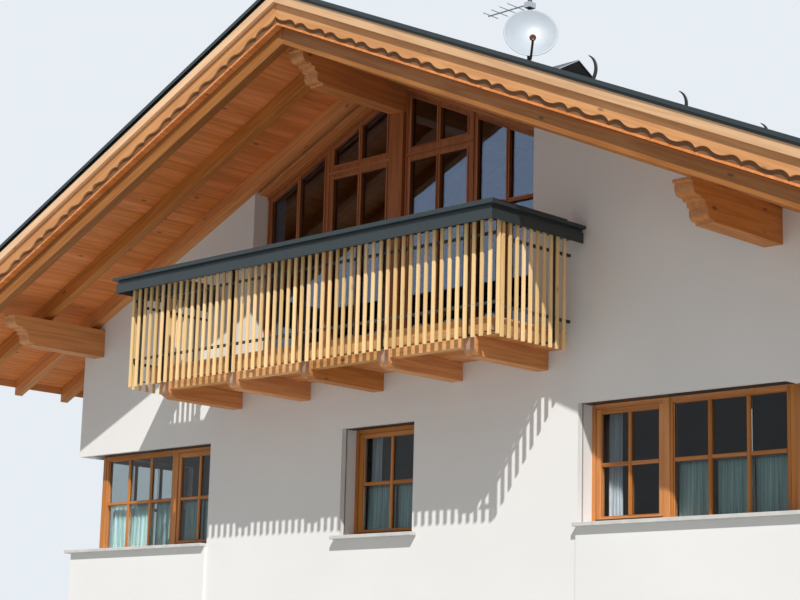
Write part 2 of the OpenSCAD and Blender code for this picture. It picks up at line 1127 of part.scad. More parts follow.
// A small rod aerial, its boom pointing left from the top of the mast
boom_l = 560;
boom_r = 9;
boom_drop = 60;
boom_off = 14;
grip_half_w = 40;
grip_over = 26;
grip_half_h = 30;
rod_r = 5;
rod_gap = 130;
rod_first = 30;
rod_l = [240, 270, 300, 340];

module aerial() {
    color("#c9ccce")
        translate([mast_x, mast_y, mast_top - boom_drop]) {
            difference() {
                block(
                    [-grip_half_w, -mast_r - grip_over, -grip_half_h],
                    [grip_half_w, mast_r + grip_over, grip_half_h]
                );
                cylinder(r = mast_r, h = 2 * grip_half_h + 2, center = true, $fn = 32);
            }
            translate([0, -mast_r - boom_off, 0])
                rotate([0, -90, 0])
                    cylinder(r = boom_r, h = boom_l, $fn = 24);
            for (i = [0:3])
                translate([-boom_l + rod_first + i * rod_gap, -mast_r - boom_off, 0])
                    rotate([90, 0, 0])
                        cylinder(r = rod_r, h = rod_l[i], center = true, $fn = 16);
        }
}

// Balcony: beams with rounded noses, joists between them, boards with an edge board round
// them, steel posts and rails, slats and a trough

beam_bottom = 5568;
beam_top = beam_bottom + beam_h;
beam_nose_r = 75;
nose_step = 20;
nose_step_back = 15;
beam_x = [for (i = [-2:2]) i * beam_gap];

// Depth from the faces of the front slats to the tips of the beams
tip_back = 142;
front_y = -half_l - balcony_out;
tip_y = front_y + tip_back;

// A U round the three free sides of the balcony, open towards the wall
module u_shape(x_out, y_out, y_end, width, z_low, z_high) {
    difference() {
        block([-x_out, -y_out, z_low], [x_out, -y_end, z_high]);
        block([-x_out + width, -y_out + width, z_low - 1], [x_out - width, -y_end + 1, z_high + 1]);
    }
}

// Under each nose the beam steps back, with a flat between the rounding and the step
module balcony_beams() {
    color(wood)
        for (x = beam_x)
            along(x - beam_w / 2, x + beam_w / 2)
                difference() {
                    translate([tip_y, beam_bottom])
                        square([-half_l - tip_y, beam_h]);
                    translate([tip_y, beam_bottom + nose_step])
                        nose_cut(beam_nose_r);
                    translate([tip_y - 1, beam_bottom - 1])
                        square([beam_nose_r + nose_step_back + 1, nose_step + 1]);
                }
}

joist_back = 15;
joist_d = 95;
joist_h = 100;

// The edge board stands on the foot plates of the posts and carries a cap strip
plate_t = 10;
edge_in = 222;
edge_half = balcony_half - edge_in;
edge_t = 30;
edge_h = 144;
edge_cap_t = 20;
edge_cap_out = 30;

module balcony_rim() {
    edge_low = beam_top + plate_t;
    edge_top = edge_low + edge_h;
    color(wood) {
        for (i = [0:3])
            block(
                [beam_x[i] + beam_w / 2, tip_y + joist_back, beam_top - joist_h],
                [beam_x[i + 1] - beam_w / 2, tip_y + joist_back + joist_d, beam_top]
            );
        u_shape(edge_half, -tip_y, half_l, edge_t, edge_low, edge_top);
        u_shape(
            edge_half + edge_cap_out, -tip_y + edge_cap_out, half_l,
            edge_t + edge_cap_out, edge_top, edge_top + edge_cap_t
        );
    }
}

deck_t = 30;

module balcony_deck() {
    color(wood)
        block(
            [-edge_half + edge_t, tip_y + edge_t, beam_top],
            [edge_half - edge_t, -half_l, beam_top + deck_t]
        );
}

// Rails: bars behind the slats, those at the sides a little lower than those at the front
rail_d = 30;
rail_h = 30;
front_rail_z = [6045, 6743];
side_rail_z = [6005, 6690];
rail_end = half_l + 150;
rail_x = balcony_half - slat_t;
rail_y = front_y + slat_t;

module balcony_rails() {
    color(dark_metal) {
        for (z = front_rail_z)
            block([-rail_x, rail_y, z - rail_h / 2], [rail_x, rail_y + rail_d, z + rail_h / 2]);
        both_sides()
            for (z = side_rail_z)
                block(
                    [rail_x - rail_d, rail_y + rail_d, z - rail_h / 2],
                    [rail_x, -rail_end, z + rail_h / 2]
                );
    }
}

// Posts behind the rails: the front ones in front of the beams, and two at each side. A foot
// plate runs from each of them in under the edge board.
post_w = 40;
post_d = 60;
post_x = rail_x - rail_d;
post_y = rail_y + rail_d;
first_side_post = 87;
last_side_post = 340;
side_post_y = [front_y + first_side_post, -half_l - last_side_post];

// Heights of the trough's floor and of its lip over the foot of its outer face
floor_lift = 60;
trough_h = 180;
trough_floor = trough_z + floor_lift;
lip_top = trough_z + trough_h;

module balcony_posts() {
    plate_top = beam_top + plate_t;
    color(dark_metal) {
        for (x = beam_x) {
            block([x - post_w / 2, post_y, beam_top], [x + post_w / 2, post_y + post_d, lip_top]);
            block([x - post_w / 2, post_y, beam_top], [x + post_w / 2, tip_y + edge_t, plate_top]);
        }
        both_sides()
            for (y = side_post_y) {
                block([post_x - post_d, y - post_w / 2, beam_top], [post_x, y + post_w / 2, trough_floor]);
                block([edge_half - edge_t, y - post_w / 2, beam_top], [post_x, y + post_w / 2, plate_top]);
            }
    }
}

// Slats: the side ones are spaced on their own and hang a little lower
front_slats = floor((2 * balcony_half - slat_w) / slat_gap);
side_slats = 10;
side_slat_gap = 104;
first_side_slat = 42;
side_foot_drop = 25;

module balcony_slats_front() {
    pitch_x = (2 * balcony_half - slat_w) / front_slats;
    color(larch)
        for (i = [0:front_slats])
            translate([-balcony_half + i * pitch_x, front_y, slat_foot])
                cube([slat_w, slat_t, trough_floor - slat_foot]);
}

module balcony_slats_sides() {
    foot = slat_foot - side_foot_drop;
    color(larch)
        both_sides()
            for (i = [0:side_slats - 1])
                translate([rail_x, front_y + first_side_slat + i * side_slat_gap, foot])
                    cube([slat_t, slat_w, trough_floor - foot]);
}

// Trough: a folded channel that caps the railing on three sides. Its outer side has a tall
// face, a narrow neck and a lip that stands out over both; its inner side is a plain upstand.
lip_over = 103;
lip_out = 233;
trough_x = balcony_half + lip_over;
trough_y = half_l + balcony_out + lip_out;
trough_end = half_l + 60;
trough_side_in = balcony_half - 148;
trough_front_in = half_l + balcony_out - 50;
trough_t = 6;
face_in = 34;
face_h = 108;
neck_in = 50;
neck_h = 43;
upstand_h = 288;

// One fold of the outer side, set in from the lip's outer edge
module trough_ring(inset, width, z_low, z_high) {
    u_shape(trough_x - inset, trough_y - inset, trough_end, width, z_low, z_high);
}

module flower_trough() {
    face_top = trough_z + face_h;
    neck_top = face_top + neck_h;
    ends = [
        [face_in, trough_floor, face_top],
        [neck_in, face_top - trough_t, neck_top],
        [0, neck_top - trough_t, lip_top]
    ];
    color(metal) {
        trough_ring(face_in, trough_t, trough_z, face_top);
        trough_ring(face_in, neck_in - face_in + trough_t, face_top - trough_t, face_top);
        trough_ring(neck_in, trough_t, face_top - trough_t, neck_top);
        trough_ring(0, neck_in + trough_t, neck_top - trough_t, neck_top);
        trough_ring(0, trough_t, neck_top - trough_t, lip_top);
        difference() {
            block(
                [-trough_x + face_in, -trough_y + face_in, trough_floor],
                [trough_x - face_in, -trough_end, trough_floor + trough_t]
            );
            block(
                [-trough_side_in, -trough_front_in, trough_floor - 1],
                [trough_side_in, -trough_end + 1, trough_floor + trough_t + 1]
            );
        }
        u_shape(
            trough_side_in + trough_t, trough_front_in + trough_t, trough_end,
            trough_t, trough_floor, trough_z + upstand_h
        );
        both_sides()
            for (e = ends)
                block(
                    [trough_side_in, -trough_end - trough_t, e[1]],
                    [trough_x - e[0], -trough_end, e[2]]
                );
    }
}

ground_slab();
upper_floors();
front_wall();
back_wall();
left_wall();
right_wall();
window_sills();
corner_windows();
casement_windows();
gable_window_frame();
gable_post();
entrance_door();
corner_glass();
window_glass();
gable_glass();
half_curtains();
long_curtains();
ridge_purlin();
eaves_purlins();
rafters();
soffit();
roof_deck();
roof_covering();
ridge_cap();
verge_boards();
scalloped_boards();
verge_flashing();
eaves_boards();
gutters();
snow_guard_hooks();
snow_guard_logs();
chimney();
chimney_cap();
satellite_dish();
feed_arm();
dish_mast();
aerial();
balcony_beams();
balcony_rim();
balcony_deck();
balcony_posts();
balcony_rails();
balcony_slats_front();
balcony_slats_sides();
flower_trough();
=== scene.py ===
import functools
import math
import random

import bmesh
import bpy
from bpy.props import FloatProperty, FloatVectorProperty, PointerProperty
from mathutils import Matrix, Vector


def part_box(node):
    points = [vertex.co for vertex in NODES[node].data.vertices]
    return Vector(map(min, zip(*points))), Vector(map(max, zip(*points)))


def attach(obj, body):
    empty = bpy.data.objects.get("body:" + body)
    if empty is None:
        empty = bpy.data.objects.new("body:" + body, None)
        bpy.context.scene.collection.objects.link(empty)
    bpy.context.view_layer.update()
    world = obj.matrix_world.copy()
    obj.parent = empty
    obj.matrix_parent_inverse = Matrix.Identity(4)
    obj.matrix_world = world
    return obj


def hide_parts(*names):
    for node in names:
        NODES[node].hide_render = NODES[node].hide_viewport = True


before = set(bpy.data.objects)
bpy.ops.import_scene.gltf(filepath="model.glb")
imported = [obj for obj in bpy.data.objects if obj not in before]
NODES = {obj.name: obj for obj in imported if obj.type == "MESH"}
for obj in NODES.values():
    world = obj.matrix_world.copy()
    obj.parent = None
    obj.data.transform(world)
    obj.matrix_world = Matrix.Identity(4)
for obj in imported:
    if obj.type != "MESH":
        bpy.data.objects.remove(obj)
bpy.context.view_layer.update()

bl_info = {
    "name": "Alpine chalet",
    "version": (1, 0, 0),
    "blender": (4, 5, 0),
    "location": "3D View > Sidebar > Chalet",
    "description": "Boards, sashes, curtains, sheet metal and finishes of an alpine chalet",
    "category": "Object",
}

# Places that repeat named values of the part's source, in metres
HALF_W = 5.5
HALF_L = 6.0
PITCH = math.radians(24)
SLOPE = math.tan(PITCH)
RAFTER_LINE = 9.2
RAFTER_TOP = 0.197
SOFFIT_TOP = 0.223
COVER_TOP = 0.59
COVER_X = 6.968
TAIL_X = 6.9
SOFFIT_Y = 7.717
FRAME_Y = 5.775
FRAME_X = 5.275
FRAME_D = 0.08
SILL_SLAB = 0.04
WINDOW_H = 1.25
BAR_Z = 0.635
BAR_H = 0.04
BAR_W = 0.046
MID_HALF = 0.565
CORNER_IN = 2.855
CORNER_SIDE = 1.6
SASH_X = 2.972
SASH_GLASS = 0.706
FIXED_X = 3.869
FIXED_END = 5.156
SIDE_START = 0.344
STOREY_SILLS = (1.1, 3.95)
ATTIC_SILL = 6.8
BACK_WINDOWS = (-3.2, 3.2)
SIDE_WINDOWS = (0.3, 3.5)
ATTIC_WINDOWS = (-1.3, 1.3)
FIXED_FOOT = 0.065
FIXED_HEAD = WINDOW_H - 0.062
SASH_FOOT = 0.12
SASH_HEAD = WINDOW_H - 0.1
HEAD_RAIL = 1.206
FOOT_RAIL = 0.085
JOINT = 0.003

# Directions that timber can run in
X_AXIS = Vector((1, 0, 0))
Y_AXIS = Vector((0, 1, 0))
Z_AXIS = Vector((0, 0, 1))
DOWN_RIGHT = Vector((math.cos(PITCH), 0, -math.sin(PITCH)))
DOWN_LEFT = Vector((math.cos(PITCH), 0, math.sin(PITCH)))
GRAIN_WAYS = (Z_AXIS, X_AXIS, Y_AXIS, DOWN_RIGHT, DOWN_LEFT)

# Painted shade of the outermost rafters, which lie in shade under the verge boards, and the threads of the
# cloth in radians for a metre
PAINTED_SHADE_TONE = -2.6
THREADS = 5200.0


def length_setting(name, description, default):
    """A length that the sidebar shows in metres."""
    return FloatProperty(name=name, description=description, default=default, min=0.0, unit="LENGTH")


def colour_setting(name, description, default):
    """A colour that the sidebar shows with a picker."""
    return FloatVectorProperty(
        name=name, description=description, default=default, size=3, min=0.0, max=1.0, subtype="COLOR"
    )


class ChaletMasonry(bpy.types.PropertyGroup):
    plaster: colour_setting("Plaster", "Colour of the rendered walls", (0.77, 0.765, 0.75))
    stone: colour_setting("Sill stone", "Colour of the stone sills", (0.56, 0.55, 0.53))
    concrete: colour_setting("Concrete", "Colour of the floors", (0.33, 0.32, 0.30))
    sill_edge: length_setting("Sill edge", "Width of the softened edges of the sills", 0.004)


class ChaletTimber(bpy.types.PropertyGroup):
    beam_edge: length_setting("Beam edge", "Width of the planed edges of beams and rafters", 0.004)
    board_edge: length_setting("Board edge", "Width of the softened edges of boards", 0.0025)
    slat_edge: length_setting("Slat edge", "Width of the softened edges of the balcony slats", 0.0012)
    soffit_board: length_setting("Soffit board", "Width of a board between the rafters", 0.148)
    soffit_groove: length_setting("Soffit groove", "Width of the groove's side between two boards", 0.004)
    deck_board: length_setting("Deck board", "Width of a board of the balcony floor", 0.136)
    beams: colour_setting("Beams", "Pale colour of the grain of the beams", (0.68, 0.28, 0.078))
    rim: colour_setting("Balcony edge", "Pale colour of the balcony's edge boards", (0.76, 0.40, 0.15))
    soffit: colour_setting("Soffit", "Pale colour of the soffit boards", (0.86, 0.31, 0.085))
    verge: colour_setting("Verge boards", "Pale colour of the upper verge boards", (0.86, 0.55, 0.32))
    scallops: colour_setting("Scalloped boards", "Pale colour of the scalloped boards", (0.76, 0.38, 0.16))
    slats: colour_setting("Slats", "Pale colour of the balcony slats", (0.95, 0.67, 0.32))


class ChaletWindows(bpy.types.PropertyGroup):
    outer_frame: length_setting("Outer frame", "Width of the outer window frames", 0.045)
    sash_step: length_setting("Sash step", "Depth from the outer frame's face to the sash's face", 0.011)
    bead: length_setting("Glazing bead", "Width of the beads that hold the glass", 0.012)
    edge: length_setting("Window edge", "Width of the softened edges of frames and sashes", 0.0022)
    wood: colour_setting("Window wood", "Pale colour of the window wood", (0.60, 0.235, 0.055))
    # The gable's wood is a darker, redder copy of the window wood: painted shade for the shade under the
    # roof.
    gable: colour_setting("Gable wood", "Pale colour of the glazed gable's wood", (0.43, 0.15, 0.05))
    glass: colour_setting("Glass", "Tint of the sealed glass", (0.56, 0.61, 0.62))
    curtain: colour_setting("Short curtains", "Colour of the short curtains", (0.50, 0.72, 0.70))
    drape: colour_setting("Long curtains", "Colour of the long curtains", (0.66, 0.68, 0.72))


class ChaletMetal(bpy.types.PropertyGroup):
    seam_gap: length_setting("Seam distance", "Distance between the standing seams of the roof", 0.6)
    seam_height: length_setting("Seam height", "Height of the standing seams over the roof sheet", 0.025)
    sheet: colour_setting("Roof sheet", "Colour of the roof, gutters and trough", (0.019, 0.030, 0.034))
    steel: colour_setting("Black steel", "Colour of the coated steel", (0.018, 0.019, 0.021))
    dish: colour_setting("Dish", "Colour of the dish and the aerial", (0.42, 0.47, 0.52))


class ChaletStage(bpy.types.PropertyGroup):
    sun: FloatProperty(name="Sun", description="Strength of the key light", default=3.95, min=0.0)
    softness: FloatProperty(
        name="Sun softness", description="Angle of the key light", default=math.radians(0.55), subtype="ANGLE"
    )
    fill: FloatProperty(name="Fill", description="Strength of the light all round", default=0.40, min=0.0)
    backdrop: colour_setting("Backdrop", "Colour of the background", (0.80, 0.85, 0.90))
    floor: colour_setting("Floor", "Colour of the floor", (0.47, 0.47, 0.455))


# Meshes


def slab(bm, a, b):
    """A box between any two opposite corners."""
    a, b = Vector(a), Vector(b)
    size = Matrix.Diagonal((*[abs(side) for side in b - a], 1.0))
    bmesh.ops.create_cube(bm, size=1.0, matrix=Matrix.Translation((a + b) / 2) @ size)


def rod(bm, start, end, radius, sides):
    """A round rod between two points, closed at both ends."""
    way = end - start
    turn = Z_AXIS.rotation_difference(way.normalized()).to_matrix().to_4x4()
    bmesh.ops.create_cone(
        bm, cap_ends=True, segments=sides, radius1=radius, radius2=radius, depth=way.length,
        matrix=Matrix.Translation((start + end) / 2) @ turn,
    )


def soften(bm, width, clamp=True, shortest=0.0):
    """Bevels every sharp edge that is longer than a given length."""
    sharp = [
        e for e in bm.edges
        if e.is_manifold and e.calc_face_angle(0.0) > math.radians(28) and e.calc_length() > shortest
    ]
    bmesh.ops.bevel(
        bm, geom=sharp, offset=width, offset_type="OFFSET", segments=1, profile=0.5,
        affect="EDGES", clamp_overlap=clamp, material=-1,
    )


def islands(bm):
    """The separate solids of a mesh, each as its vertices, in a fixed order."""
    bm.verts.ensure_lookup_table()
    bm.verts.index_update()
    seen = [False] * len(bm.verts)
    found = []
    for first in bm.verts:
        if seen[first.index]:
            continue
        seen[first.index] = True
        group = [first]
        for v in group:
            for e in v.link_edges:
                other = e.other_vert(v)
                if not seen[other.index]:
                    seen[other.index] = True
                    group.append(other)
        found.append(group)
    return found


def reach(group, way):
    """How far some vertices spread along a direction."""
    places = [v.co.dot(way) for v in group]
    return max(places) - min(places)


def lay_grain(bm, seed, spread=1.0, cut=0.3, outer=None):
    """Gives each solid its place in the grain, its tone and its cut ends; a solid beyond the outer distance
    gets painted shade, a far darker tone.
    """
    grain = bm.verts.layers.float_vector.new("grain")
    tone = bm.verts.layers.float.new("tone")
    end = bm.faces.layers.float.new("end")
    chance = random.Random(seed)
    for group in islands(bm):
        way = max(GRAIN_WAYS, key=lambda w: reach(group, w))
        side = X_AXIS if way is Z_AXIS else way.cross(Z_AXIS).normalized()
        up = way.cross(side)
        start = Vector([chance.uniform(0, 50) for _ in range(3)])
        shade = chance.uniform(-1, 1) * spread
        # Painted shade: solids beyond the outer distance get a far darker tone for the shade under the verge
        # boards.
        if outer is not None and min(abs(v.co.y) for v in group) > outer:
            shade = PAINTED_SHADE_TONE
        for v in group:
            for f in v.link_faces:
                f[end] = cut if abs(f.normal.dot(way)) > 0.8 else 0.0
            v[grain] = Vector((v.co.dot(way), v.co.dot(side), v.co.dot(up))) + start
            v[tone] = shade


def node_mesh(name):
    """A merged copy of a CAD node's mesh, with its flat faces whole."""
    bm = bmesh.new()
    bm.from_mesh(NODES[name].data)
    bmesh.ops.remove_doubles(bm, verts=bm.verts, dist=0.00002)
    bmesh.ops.dissolve_limit(bm, angle_limit=math.radians(0.6), verts=bm.verts, edges=bm.edges)
    return bm


def finish_piece(bm, name, material, slot, replaces=()):
    """Makes the object of a piece, which rides on the house."""
    mesh = bpy.data.meshes.new(name)
    bm.to_mesh(mesh)
    bm.free()
    mesh.materials.append(material)
    mesh.shade_smooth()
    mesh.set_sharp_from_angle(angle=math.radians(26))
    piece = bpy.data.objects.new(name, mesh)
    bpy.context.scene.collection.objects.link(piece)
    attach(piece, "root")
    if replaces:
        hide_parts(*replaces)
    return piece


def soft_copy(node, name, material, slot, width, seed=None, shortest=0.0, **grain):
    """A CAD node's shape with softened edges, and with grain where a seed is given."""
    bm = node_mesh(node)
    soften(bm, width, False, shortest)
    if seed is not None:
        lay_grain(bm, seed, **grain)
    return finish_piece(bm, name, material, slot, (node,))


def timber_piece(bm, name, material, slot, width, seed, replaces=()):
    """Finishes boards and members: soft edges, then grain."""
    soften(bm, width)
    lay_grain(bm, seed)
    return finish_piece(bm, name, material, slot, replaces)


def paint(node, material):
    """Gives a CAD node that stays its material."""
    slots = NODES[node].material_slots
    if not slots:
        NODES[node].data.materials.append(material)
    for s in slots:
        s.material = material


def roof_slab(bm, side, x, y, rise):
    """A box that is sheared to lie on one slope; the rise is over the underside of the rafters."""
    before = len(bm.verts)
    slab(bm, (x[0], y[0], rise[0]), (x[1], y[1], rise[1]))
    bm.verts.ensure_lookup_table()
    new = bm.verts[before:]
    for v in new:
        v.co.z += RAFTER_LINE - SLOPE * v.co.x
    if side < 0:
        bmesh.ops.scale(bm, vec=(-1, 1, 1), verts=new)
        faces = dict.fromkeys(f for v in new for f in v.link_faces)
        bmesh.ops.reverse_faces(bm, faces=list(faces))


# Materials


def feed(tree, socket, value):
    """Sets a socket to a value, or links another socket to it."""
    if isinstance(value, bpy.types.NodeSocket):
        tree.links.new(value, socket)
    else:
        socket.default_value = value


def add(tree, kind, settings=(), **inputs):
    """A node with its settings and its named inputs."""
    node = tree.nodes.new(kind)
    for key, value in dict(settings).items():
        setattr(node, key, value)
    for key, value in inputs.items():
        feed(tree, node.inputs[key.replace("_", " ")], value)
    return node


def calc(tree, operation, *values):
    """A Math node's result."""
    node = tree.nodes.new("ShaderNodeMath")
    node.operation = operation
    for socket, value in zip(node.inputs, values):
        feed(tree, socket, value)
    return node.outputs[0]


def scaled(tree, vector, scale):
    """A vector times three numbers."""
    node = tree.nodes.new("ShaderNodeVectorMath")
    node.operation = "MULTIPLY"
    feed(tree, node.inputs[0], vector)
    node.inputs[1].default_value = scale
    return node.outputs[0]


def noise(tree, vector, scale, detail=2.0, roughness=0.5):
    """Noise around a half."""
    node = add(tree, "ShaderNodeTexNoise", Vector=vector, Scale=scale, Detail=detail, Roughness=roughness)
    return node.outputs["Fac"]


def stretch(tree, value, low, high, to_low=0.0, to_high=1.0):
    """A value moved from one range to another, and kept in it."""
    node = add(
        tree, "ShaderNodeMapRange", Value=value, From_Min=low, From_Max=high, To_Min=to_low, To_Max=to_high
    )
    return node.outputs["Result"]


def blend_colours(tree, factor, a, b, way="MIX"):
    """Two colours mixed by a factor."""
    node = tree.nodes.new("ShaderNodeMix")
    node.data_type = "RGBA"
    node.blend_type = way
    feed(tree, node.inputs[0], factor)
    feed(tree, node.inputs[6], a)
    feed(tree, node.inputs[7], b)
    return node.outputs[2]


def rgba(colour, level=1.0):
    """A colour with its alpha, made darker by a level."""
    return (*[c * level for c in colour], 1.0)


def new_group(name, inputs, outputs):
    """A node group with named sockets, and its input and output nodes."""
    tree = bpy.data.node_groups.new(name, "ShaderNodeTree")
    for label, kind in inputs:
        tree.interface.new_socket(name=label, in_out="INPUT", socket_type=kind)
    for label, kind in outputs:
        tree.interface.new_socket(name=label, in_out="OUTPUT", socket_type=kind)
    return tree, tree.nodes.new("NodeGroupInput").outputs, tree.nodes.new("NodeGroupOutput").inputs


def grain_group():
    """Growth rings, fibres and knots of sawn timber, from the grain's own coordinates."""
    if "Timber grain" in bpy.data.node_groups:
        return bpy.data.node_groups["Timber grain"]
    tree, given, made = new_group(
        "Timber grain",
        [
            ("Grain", "NodeSocketVector"), ("Tone", "NodeSocketFloat"), ("Light", "NodeSocketColor"),
            ("Dark", "NodeSocketColor"), ("Rings", "NodeSocketFloat"), ("Knots", "NodeSocketFloat"),
            ("End", "NodeSocketFloat"),
        ],
        [("Colour", "NodeSocketColor"), ("Height", "NodeSocketFloat"), ("Roughness", "NodeSocketFloat")],
    )
    bend = noise(tree, scaled(tree, given["Grain"], (0.45, 9.0, 9.0)), 1.0, 2.0, 0.45)
    rings = calc(tree, "SINE", calc(tree, "MULTIPLY", bend, given["Rings"]))
    rings = stretch(tree, rings, -1.0, 1.0)
    fibres = noise(tree, scaled(tree, given["Grain"], (5.0, 190.0, 190.0)), 1.0, 3.0, 0.6)
    broad = noise(tree, scaled(tree, given["Grain"], (0.35, 3.0, 3.0)), 1.0, 1.0, 0.5)
    spots = add(
        tree, "ShaderNodeTexVoronoi", {"feature": "F1"},
        Vector=scaled(tree, given["Grain"], (2.6, 6.5, 6.5)), Scale=1.0,
    )
    chance = add(tree, "ShaderNodeSeparateColor", Color=spots.outputs["Color"]).outputs[0]
    chosen = calc(tree, "GREATER_THAN", chance, 0.62)
    knots = calc(tree, "MULTIPLY", stretch(tree, spots.outputs["Distance"], 0.14, 0.05), chosen)
    knots = calc(tree, "MULTIPLY", knots, given["Knots"])
    dark = calc(tree, "MULTIPLY", rings, 0.42)
    dark = calc(tree, "ADD", dark, stretch(tree, fibres, 0.35, 0.72, 0.0, 0.34))
    dark = calc(tree, "ADD", dark, stretch(tree, broad, 0.3, 0.75, -0.08, 0.22))
    colour = blend_colours(tree, stretch(tree, dark, 0.0, 1.0), given["Light"], given["Dark"])
    colour = blend_colours(tree, knots, colour, (0.09, 0.032, 0.012, 1.0))
    cut = add(tree, "ShaderNodeHueSaturation", Color=given["Light"], Saturation=0.6, Value=0.55)
    colour = blend_colours(tree, calc(tree, "MULTIPLY", given["End"], 0.7), colour, cut.outputs["Color"])
    # The tone darkens or lightens each solid at random; a tone far below -1 is the painted shade of the
    # outermost rafters.
    level = calc(tree, "MULTIPLY_ADD", given["Tone"], 0.17, 0.97)
    strength = stretch(tree, given["Tone"], -1.0, 1.0, 1.06, 0.95)
    even = add(tree, "ShaderNodeHueSaturation", Color=colour, Value=level, Saturation=strength)
    feed(tree, made["Colour"], even.outputs["Color"])
    height = calc(tree, "ADD", calc(tree, "MULTIPLY", rings, -0.35), calc(tree, "MULTIPLY", fibres, 0.65))
    feed(tree, made["Height"], height)
    feed(tree, made["Roughness"], stretch(tree, dark, 0.0, 1.0, 0.48, 0.68))
    return tree


def mottle_group():
    """Uneven tone of a mineral or coated surface: broad clouds with finer ones on them."""
    if "Surface mottle" in bpy.data.node_groups:
        return bpy.data.node_groups["Surface mottle"]
    tree, given, made = new_group(
        "Surface mottle",
        [
            ("Place", "NodeSocketVector"), ("Colour", "NodeSocketColor"), ("Broad", "NodeSocketFloat"),
            ("Fine", "NodeSocketFloat"), ("Depth", "NodeSocketFloat"),
        ],
        [("Colour", "NodeSocketColor"), ("Grit", "NodeSocketFloat"), ("Clouds", "NodeSocketFloat")],
    )
    clouds = noise(tree, given["Place"], given["Broad"], 4.0, 0.55)
    grit = noise(tree, given["Place"], given["Fine"], 3.0, 0.62)
    shade = calc(tree, "ADD", calc(tree, "MULTIPLY", clouds, 0.65), calc(tree, "MULTIPLY", grit, 0.35))
    shade = stretch(tree, shade, 0.3, 0.7, -1.0, 1.0)
    level = calc(tree, "ADD", calc(tree, "MULTIPLY", shade, given["Depth"]), 1.0)
    even = add(tree, "ShaderNodeHueSaturation", Color=given["Colour"], Value=level)
    feed(tree, made["Colour"], even.outputs["Color"])
    feed(tree, made["Grit"], grit)
    feed(tree, made["Clouds"], clouds)
    return tree


def made_once(make):
    """Gives back a material that exists under its name, and otherwise makes it."""

    @functools.wraps(make)
    def finish(name, *values, **named):
        return bpy.data.materials.get(name) or make(name, *values, **named)

    return finish


def new_finish(name, roughness, metallic=0.0):
    """A material with its shader, ready for its nodes."""
    material = bpy.data.materials.new(name)
    material.use_nodes = True
    tree = material.node_tree
    shader = tree.nodes["Principled BSDF"]
    shader.inputs["Roughness"].default_value = roughness
    shader.inputs["Metallic"].default_value = metallic
    return material, tree, shader


def place_group(tree, group, **values):
    """A shared effect in a material, with this material's values."""
    node = add(tree, "ShaderNodeGroup", {"node_tree": group})
    for key, value in values.items():
        feed(tree, node.inputs[key], value)
    return node.outputs


def object_place(tree):
    """Object coordinates."""
    return add(tree, "ShaderNodeTexCoord").outputs["Object"]


def bump(tree, shader, height, strength, distance):
    """Relief from a height, in metres."""
    node = add(tree, "ShaderNodeBump", Height=height, Strength=strength, Distance=distance)
    tree.links.new(node.outputs["Normal"], shader.inputs["Normal"])


@made_once
def timber_finish(name, light, dark_level, rings=30.0, knots=0.8):
    """Oiled timber whose dark rings have a redder, deeper tone than its pale ones."""
    material, tree, shader = new_finish(name, 0.55)
    shader.inputs["Coat Roughness"].default_value = 0.4
    laid = {
        key: add(tree, "ShaderNodeAttribute", {"attribute_name": key.lower()}).outputs[kind]
        for key, kind in (("Grain", "Vector"), ("Tone", "Fac"), ("End", "Fac"))
    }
    dark = [light[0] * dark_level, light[1] * dark_level ** 1.35, light[2] * dark_level ** 1.6]
    grain = place_group(
        tree, grain_group(), Light=rgba(light), Dark=rgba(dark), Rings=rings, Knots=knots, **laid
    )
    feed(tree, shader.inputs["Base Color"], grain["Colour"])
    feed(tree, shader.inputs["Roughness"], grain["Roughness"])
    bump(tree, shader, grain["Height"], 0.5, 0.0015)
    return material


def room_shade_mask(tree, place):
    """One on the faces that look into the rooms, and nothing outside; it places the painted shade of the
    rooms.
    """
    parts = add(tree, "ShaderNodeSeparateXYZ", Vector=place)
    wide = calc(tree, "LESS_THAN", calc(tree, "ABSOLUTE", parts.outputs["X"]), HALF_W - 0.4)
    long = calc(tree, "LESS_THAN", calc(tree, "ABSOLUTE", parts.outputs["Y"]), HALF_L - 0.4)
    return calc(tree, "MULTIPLY", wide, long)


@made_once
def mineral_finish(name, colour, broad, fine, depth, roughness, relief, rooms=1.0):
    """Plaster, stone or concrete, which may carry painted shade inside the rooms, where its colour is
    darkened for the dim rooms.
    """
    material, tree, shader = new_finish(name, roughness)
    place = object_place(tree)
    mottle = place_group(
        tree, mottle_group(), Place=place, Colour=rgba(colour), Broad=broad, Fine=fine, Depth=depth
    )
    colour = mottle["Colour"]
    # Painted shade: inside the rooms the colour is brought down to the given level.
    if rooms < 1.0:
        shade = calc(tree, "SUBTRACT", 1.0, calc(tree, "MULTIPLY", room_shade_mask(tree, place), 1.0 - rooms))
        colour = add(tree, "ShaderNodeHueSaturation", Color=colour, Value=shade).outputs["Color"]
    feed(tree, shader.inputs["Base Color"], colour)
    grit = calc(tree, "MULTIPLY", mottle["Grit"], 0.5)
    height = calc(tree, "ADD", grit, calc(tree, "MULTIPLY", mottle["Clouds"], 0.9))
    bump(tree, shader, height, 0.6, relief)
    return material


@made_once
def coated_finish(name, colour, roughness, metallic, relief, depth=0.07, broad=1.7):
    """Coated sheet or steel: slightly uneven in tone, gloss and flatness."""
    material, tree, shader = new_finish(name, roughness, metallic)
    mottle = place_group(
        tree, mottle_group(), Place=object_place(tree), Colour=rgba(colour), Broad=broad, Fine=60.0,
        Depth=depth,
    )
    feed(tree, shader.inputs["Base Color"], mottle["Colour"])
    gloss = stretch(tree, mottle["Clouds"], 0.3, 0.7, roughness - 0.07, roughness + 0.09)
    feed(tree, shader.inputs["Roughness"], gloss)
    bump(tree, shader, mottle["Clouds"], 0.5, relief)
    return material


